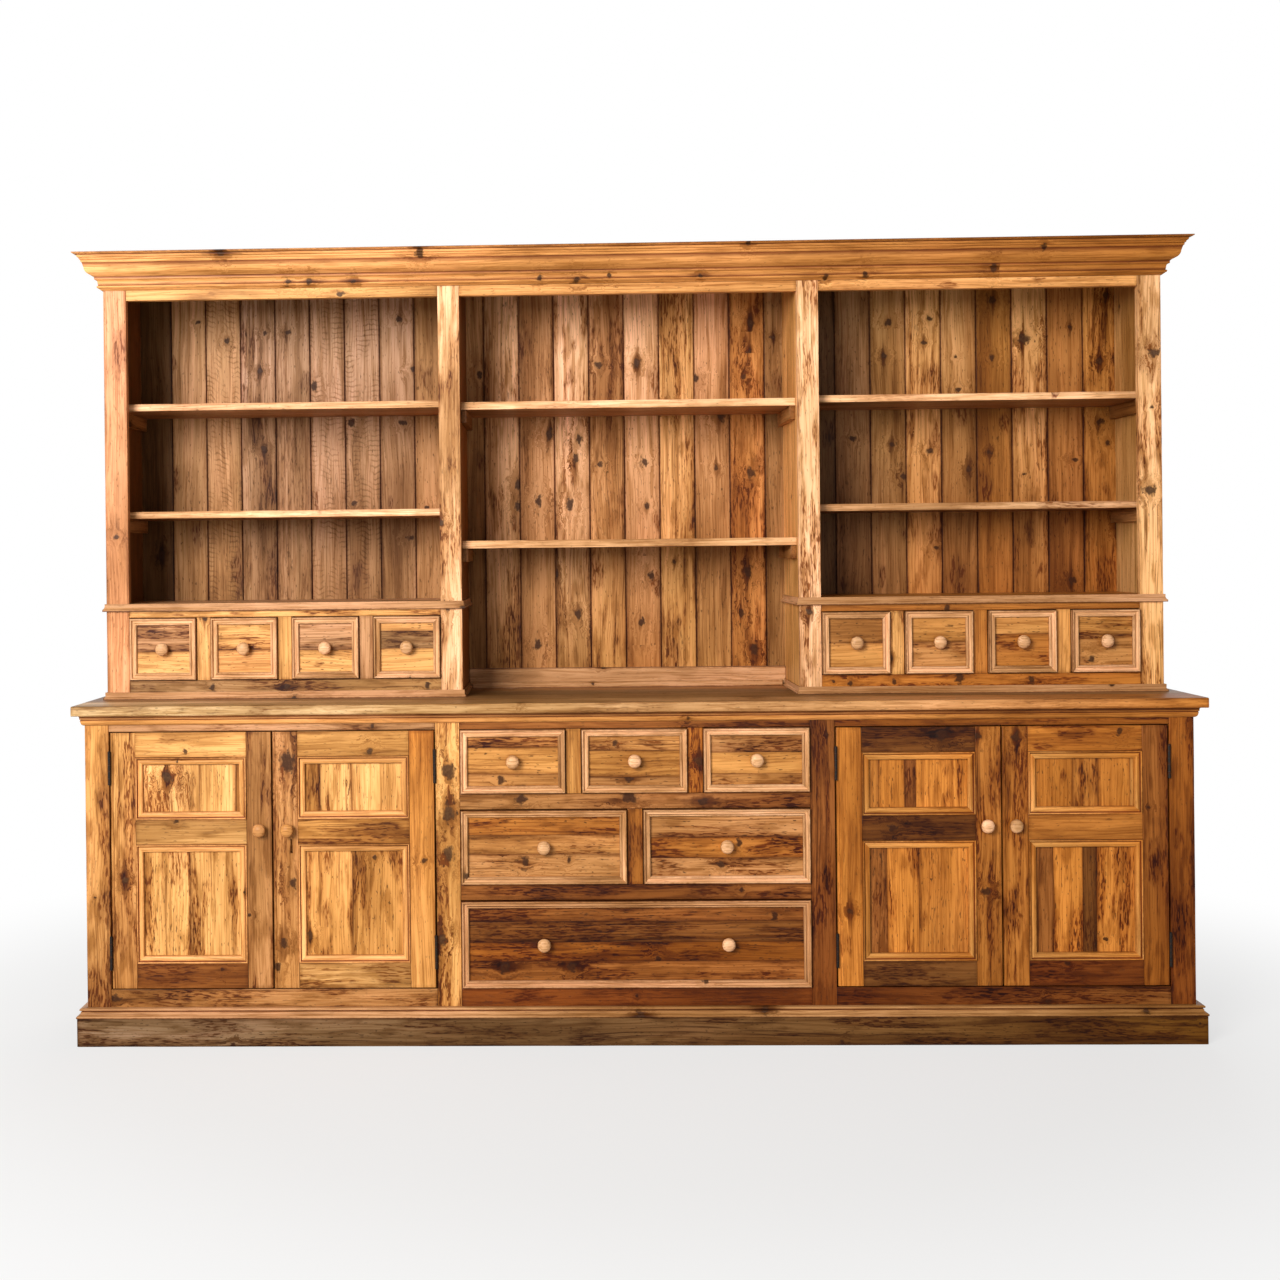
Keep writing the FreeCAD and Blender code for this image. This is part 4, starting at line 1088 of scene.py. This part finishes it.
# Drawers whose top mouldings are given a painted shadow for the dark gap above them, which strips near
# the top count, and how strongly they are darkened
SHADOWED_DRAWER_TOPS = ("middle_drawer_1", "middle_drawer_2", "bottom_drawer_1")
SHADOWED_TOP_BAND, TOP_SHADOW_AMOUNT = 50 * MM, 1.5
# Where the nick lies as a share of the shelf's length, and the thickness of the edge that it breaks
NICK_SHARE, NICK_SKIN = 0.736, 2.5 * MM
# Where it is cut and between where it sinks, in halves of its width from its middle
NICK_CUTS, NICK_FLOOR = (-1, -0.4, 0.1, 1), (-0.5, 0.2)
# How deep its left part is, as a share of its depth
NICK_LEFT_DEPTH = 0.75
# The keyhole's waist as a share of its height from the top, and its narrow part's share of its width
KEYHOLE_WAIST, KEYHOLE_NARROW = 0.45, 0.64
SPECIAL = {
    ("door_1_frame", 0): cut_bead,
    ("door_2_frame", 0): cut_keyhole,
    ("door_3_frame", 0): cut_bead,
    ("door_4_frame", 0): cut_bead,
    ("upper_shelves", 9): cut_nick,
}


# A knob's radius and length as shares, from the foot to the nose
KNOB_SECTION = (
    (0.0, 0.0), (0.64, 0.0), (0.66, 0.02), (0.65, 0.055), (0.58, 0.085), (0.52, 0.15),
    (0.5, 0.23), (0.54, 0.31), (0.7, 0.38), (0.88, 0.445), (0.965, 0.52), (1.0, 0.6),
    (0.985, 0.69), (0.925, 0.78), (0.81, 0.865), (0.64, 0.93), (0.42, 0.975), (0.2, 0.995),
    (0.0, 1.0))
# Flat sides round a knob
KNOB_STEPS = 40


def turned_knob(low, high):
    """Knob turned from one piece, with a foot ring, a waist and a flattened nose."""
    radius = (high.x - low.x) / 2
    run = high.y - low.y
    middle = (low + high) / 2
    bm = bmesh.new()
    verts = [bm.verts.new((middle.x + r * radius, high.y - s * run, middle.z))
             for r, s in KNOB_SECTION]
    edges = [bm.edges.new(pair) for pair in zip(verts, verts[1:])]
    bmesh.ops.spin(
        bm, geom=verts + edges, cent=(middle.x, middle.y, middle.z), axis=(0, 1, 0),
        angle=math.tau, steps=KNOB_STEPS, use_merge=True)
    bmesh.ops.remove_doubles(bm, verts=bm.verts, dist=MERGE_DISTANCE)
    bmesh.ops.recalc_face_normals(bm, faces=bm.faces)
    return bm


def build_knob(name, low, high, body, node, wood="blush"):
    """One knob as its own piece."""
    bm = turned_knob(low, high)
    rng = random.Random(name)
    board = Board(low, high, Kind(wood), rng, X)
    board.label(bm, bm.faces)
    return build_piece(
        name, [bm], finishes["knob"], body, [node], KNOB_SMOOTH_ANGLE)


def is_knob(bm):
    """Whether a solid is a knob, by its size."""
    low, high = box_of(bm)
    return max(high - low) < KNOB_BOX


# The plinth's first solids are its boards, and the others its cap moulding
PLINTH_BOARDS = 3
# Which solids of a door's panels are the panels, and the others are their mouldings
PANEL_SOLIDS = (0, 5)


class HUTCH_OT_plinth(bpy.types.Operator):
    """Rough plinth boards and the moulding that caps them."""
    bl_idname = "hutch.plinth"
    bl_label = "Plinth"

    def execute(self, context):
        solids = dress_boards("plinth", kinds_of(TONES["plinth"]), knots=0.8, stains=0.8)
        for bm in solids[PLINTH_BOARDS:]:
            bm.free()
        build_piece(
            "plinth_boards", solids[:PLINTH_BOARDS], finishes["plinth"], "carcass", ["plinth"])
        cap = solids_of("plinth")[PLINTH_BOARDS:]
        dress_mouldings(cap, kinds_of(MOULDING_TONES["plinth"]), "plinth cap", knots=1.0)
        build_piece(
            "plinth_cap", cap, finishes["moulding"], "carcass", ["plinth"],
            MOULDING_SMOOTH_ANGLE)
        return {"FINISHED"}


class HUTCH_OT_face_frames(bpy.types.Operator):
    """Stiles, rails and muntins of the base and of the shelf rack."""
    bl_idname = "hutch.face_frames"
    bl_label = "Face frames"

    def execute(self, context):
        for node in ("base_face_frame", "upper_face_frame"):
            build_piece(
                node + "_boards", dress_boards(node, kinds_of(TONES[node])), finishes["front"],
                "carcass", [node])
        return {"FINISHED"}


class HUTCH_OT_carcass(bpy.types.Operator):
    """Ends, partitions, floors, shelves, cleats and drawer runners."""
    bl_idname = "hutch.carcass"
    bl_label = "Carcass boards"

    def execute(self, context):
        for node, finish in (
                ("base_uprights", "front"), ("upper_uprights", "front"), ("upper_shelves", "front"),
                ("base_floors_and_shelves", "inside"), ("drawer_runners", "inside"),
                ("cleats_and_stops", "front")):
            solids = dress_boards(node, kinds_of(TONES[node]))
            build_piece(node + "_boards", solids, finishes[finish], "carcass", [node])
        return {"FINISHED"}


class HUTCH_OT_back(bpy.types.Operator):
    """Tongued and grooved boards at the back."""
    bl_idname = "hutch.back"
    bl_label = "Back boards"

    def execute(self, context):
        for node in ("base_back_boards", "upper_back_boards"):
            solids = dress_boards(
                node, kinds_of(TONES[node]), stains=0.6, grain=Z, marks=BACK_MARKS, tongued=True,
                shaded_foot_lit_head=node == "upper_back_boards")
            build_piece(node + "_worn", solids, finishes["back"], "carcass", [node])
        return {"FINISHED"}


class HUTCH_OT_worktop(bpy.types.Operator):
    """Worktop boards laid side by side."""
    bl_idname = "hutch.worktop"
    bl_label = "Worktop"

    def execute(self, context):
        build_piece(
            "worktop_boards",
            dress_boards("worktop", kinds_of(TONES["worktop"]), knots=0.8, stains=0.8),
            finishes["front"], "carcass", ["worktop"])
        return {"FINISHED"}


class HUTCH_OT_mouldings(bpy.types.Operator):
    """Cornice and the mouldings round the worktop, the waist and the foot of the rack."""
    bl_idname = "hutch.mouldings"
    bl_label = "Mouldings"

    def execute(self, context):
        for node, knots in (("cornice", 1.4), ("worktop_moulding", 0.6), ("upper_mouldings", 0.8)):
            solids = dress_mouldings(solids_of(node), kinds_of(MOULDING_TONES[node]), node, knots)
            build_piece(
                node + "_run", solids, finishes["moulding"], "carcass", [node],
                MOULDING_SMOOTH_ANGLE)
        return {"FINISHED"}


class HUTCH_OT_doors(bpy.types.Operator):
    """Door frames, panels, panel mouldings and knobs."""
    bl_idname = "hutch.doors"
    bl_label = "Doors"

    def execute(self, context):
        for i in range(1, 5):
            door = "door_%d" % i
            node = door + "_frame"
            build_piece(
                door + "_stiles_and_rails", dress_boards(node, kinds_of(TONES[node])),
                finishes["front"], door, [node])
            node = door + "_panels"
            solids = solids_of(node)
            fields = []
            for j, place in enumerate(PANEL_SOLIDS):
                seed = "%s field %d" % (door, j)
                fields.append(dress_field(solids[place], FIELDS[door][j], seed, X, Z))
            build_piece(door + "_fields", fields, finishes["field"], door, [node])
            strips = [bm for j, bm in enumerate(solids) if j not in PANEL_SOLIDS]
            dress_mouldings(strips, kinds_of(MOULDING_TONES[door]), door)
            build_piece(
                door + "_panel_mouldings", strips, finishes["moulding"], door, [node],
                MOULDING_SMOOTH_ANGLE)
            node = door + "_knob"
            low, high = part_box(node)
            build_knob(door + "_turned_knob", low, high, door, node, KNOB_WOODS.get(door, "blush"))
        return {"FINISHED"}


class HUTCH_OT_drawers(bpy.types.Operator):
    """Drawer fields, their mouldings and knobs, and the boxes behind them."""
    bl_idname = "hutch.drawers"
    bl_label = "Drawers"

    def execute(self, context):
        for drawer, text in FIELDS.items():
            if drawer.startswith("door"):
                continue
            node = drawer + "_front"
            solids = solids_of(node)
            knobs = [bm for bm in solids if is_knob(bm)]
            field = dress_field(solids[0], text, drawer + " field", Z, X)
            build_piece(drawer + "_field", [field], finishes["field"], drawer, [node])
            strips = [bm for bm in solids[1:] if not is_knob(bm)]
            dress_mouldings(strips, kinds_of(MOULDING_TONES[drawer.rpartition("_")[0]]), drawer)
            # Painted shadow on the upper faces of the top moulding strips
            if drawer in SHADOWED_DRAWER_TOPS:
                top = max(box_of(bm)[1].z for bm in strips)
                for bm in strips:
                    if box_of(bm)[0].z > top - SHADOWED_TOP_BAND:
                        dull(bm, Vector((0, 0, 1)), TOP_SHADOW_AMOUNT)
            build_piece(
                drawer + "_moulding", strips, finishes["moulding"], drawer, [node],
                MOULDING_SMOOTH_ANGLE)
            for j, bm in enumerate(knobs):
                low, high = box_of(bm)
                bm.free()
                build_knob("%s_turned_knob_%d" % (drawer, j + 1), low, high, drawer, node)
            node = drawer + "_box"
            build_piece(
                node + "_boards", dress_boards(node, kinds_of(TONES["boxes"]), knots=1.0),
                finishes["inside"], drawer, [node])
        return {"FINISHED"}


class HUTCH_OT_hinges(bpy.types.Operator):
    """Iron of the butt hinges."""
    bl_idname = "hutch.hinges"
    bl_label = "Hinges"

    def execute(self, context):
        for node in ["hinge_frame_leaves"] + ["door_%d_hinge_leaves" % i for i in range(1, 5)]:
            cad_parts[node].data.materials.clear()
            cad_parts[node].data.materials.append(finishes["iron"])
        return {"FINISHED"}


# Half the floor's side in metres, and from where to where it fades, from this share of white
FLOOR_HALF = 20
FLOOR_FADE, FLOOR_WHITE = (1.2, 2.9), 0.66
WHITE = (1, 1, 1, 1)
# How strongly the surroundings light the hutch, and the lamps: name, place, side in metres, watts
SKY_LIGHT = 0.09
LAMPS = (
    ("key", (-3.1, -6.0, 3.0), 2.8, 610), ("fill", (1.5, -7.0, 1.8), 4.0, 75),
    ("back", (1.0, 7.0, 2.6), 4.0, 330))
LIT_POINT = Vector((0, 0, 1.15))


class HUTCH_OT_stage(bpy.types.Operator):
    """Floor, soft light and the camera at the photograph's place."""
    bl_idname = "hutch.stage"
    bl_label = "Stage"

    def execute(self, context):
        scene = context.scene
        scene.view_settings.view_transform = "Standard"
        bm = bmesh.new()
        bmesh.ops.create_grid(bm, x_segments=1, y_segments=1, size=FLOOR_HALF)
        mesh = bpy.data.meshes.new("floor")
        bm.to_mesh(mesh)
        bm.free()
        floor = bpy.data.objects.new("floor", mesh)
        scene.collection.objects.link(floor)
        # Matt pale board: a soft shadow and no shine. Seen by the camera, it fades to the white of the
        # background away from the hutch
        material = bpy.data.materials.new("matt_pale_floor_board")
        node = functools.partial(add, emptied(material))
        pale = node("BsdfDiffuse", (*tone("floor"), 1))
        white = node("Emission", WHITE, 1.0)
        away = node("VectorMath", node("TexCoord", out="Object"), out="Value", operation="LENGTH")
        fade = node("MapRange", away, *FLOOR_FADE, FLOOR_WHITE, 1.0, **SMOOTH)
        camera_ray = node("LightPath", out="Is Camera Ray")
        share = node("Math", fade, camera_ray, operation="MULTIPLY")
        node("OutputMaterial", node("MixShader", share, pale, white))
        mesh.materials.append(material)

        world = bpy.data.worlds.new("studio")
        scene.world = world
        node = functools.partial(add, emptied(world))
        ray = node("LightPath").node.outputs
        seen = node("Math", ray["Is Camera Ray"], ray["Is Glossy Ray"], operation="MAXIMUM")
        seen = node("Math", seen, ray["Is Transmission Ray"], operation="MAXIMUM")
        strength = node("MapRange", seen, 0, 1, SKY_LIGHT, 1.0)
        node("OutputWorld", node("Background", WHITE, strength))

        for name, place, size, power in LAMPS:
            lamp = bpy.data.lights.new(name, "AREA")
            lamp.shape = "SQUARE"
            lamp.size = size
            lamp.energy = power
            obj = bpy.data.objects.new(name, lamp)
            scene.collection.objects.link(obj)
            obj.location = place
            aim = LIT_POINT - obj.location
            obj.rotation_euler = aim.to_track_quat("-Z", "Y").to_euler()

        camera = bpy.data.cameras.new("camera")
        camera.sensor_width = CAMERA_SENSOR
        camera.lens = CAMERA_LENS
        camera.shift_x = CAMERA_SHIFT_X
        camera.shift_y = CAMERA_SHIFT_Y
        obj = bpy.data.objects.new("camera", camera)
        scene.collection.objects.link(obj)
        side, up, ahead = camera_axes()
        basis = Matrix((side, up, -ahead)).transposed().to_4x4()
        basis.translation = CAMERA_PLACE
        obj.matrix_world = basis
        scene.camera = obj
        return {"FINISHED"}


OPERATORS = (
    HUTCH_OT_plinth, HUTCH_OT_face_frames, HUTCH_OT_carcass, HUTCH_OT_back, HUTCH_OT_worktop,
    HUTCH_OT_mouldings, HUTCH_OT_doors, HUTCH_OT_drawers, HUTCH_OT_hinges, HUTCH_OT_stage)


class HUTCH_PT_panel(bpy.types.Panel):
    """Lists the pieces of the hutch in the sidebar."""
    bl_idname = "HUTCH_PT_panel"
    bl_label = "Hutch"
    bl_space_type = "VIEW_3D"
    bl_region_type = "UI"
    bl_category = "Hutch"

    def draw(self, context):
        for operator in OPERATORS:
            self.layout.operator(operator.bl_idname)
        for name in HutchSizes.__annotations__:
            self.layout.prop(context.scene.hutch_sizes, name)
        for name in HutchColours.__annotations__:
            self.layout.prop(context.scene.hutch_colours, name)


CLASSES = (HutchSizes, HutchColours) + OPERATORS + (HUTCH_PT_panel,)


def register():
    """Makes the hutch's sizes, colours, operators and panel known to Blender."""
    for cls in CLASSES:
        bpy.utils.register_class(cls)
    bpy.types.Scene.hutch_sizes = bpy.props.PointerProperty(type=HutchSizes)
    bpy.types.Scene.hutch_colours = bpy.props.PointerProperty(type=HutchColours)


def unregister():
    """Takes them away again."""
    del bpy.types.Scene.hutch_colours
    del bpy.types.Scene.hutch_sizes
    for cls in reversed(CLASSES):
        bpy.utils.unregister_class(cls)


def main():
    """Makes the whole hutch."""
    register()
    finishes.update(make_materials())
    for operator in OPERATORS:
        group, name = operator.bl_idname.split(".")
        getattr(getattr(bpy.ops, group), name)()


if __name__ == "__main__":
    main()
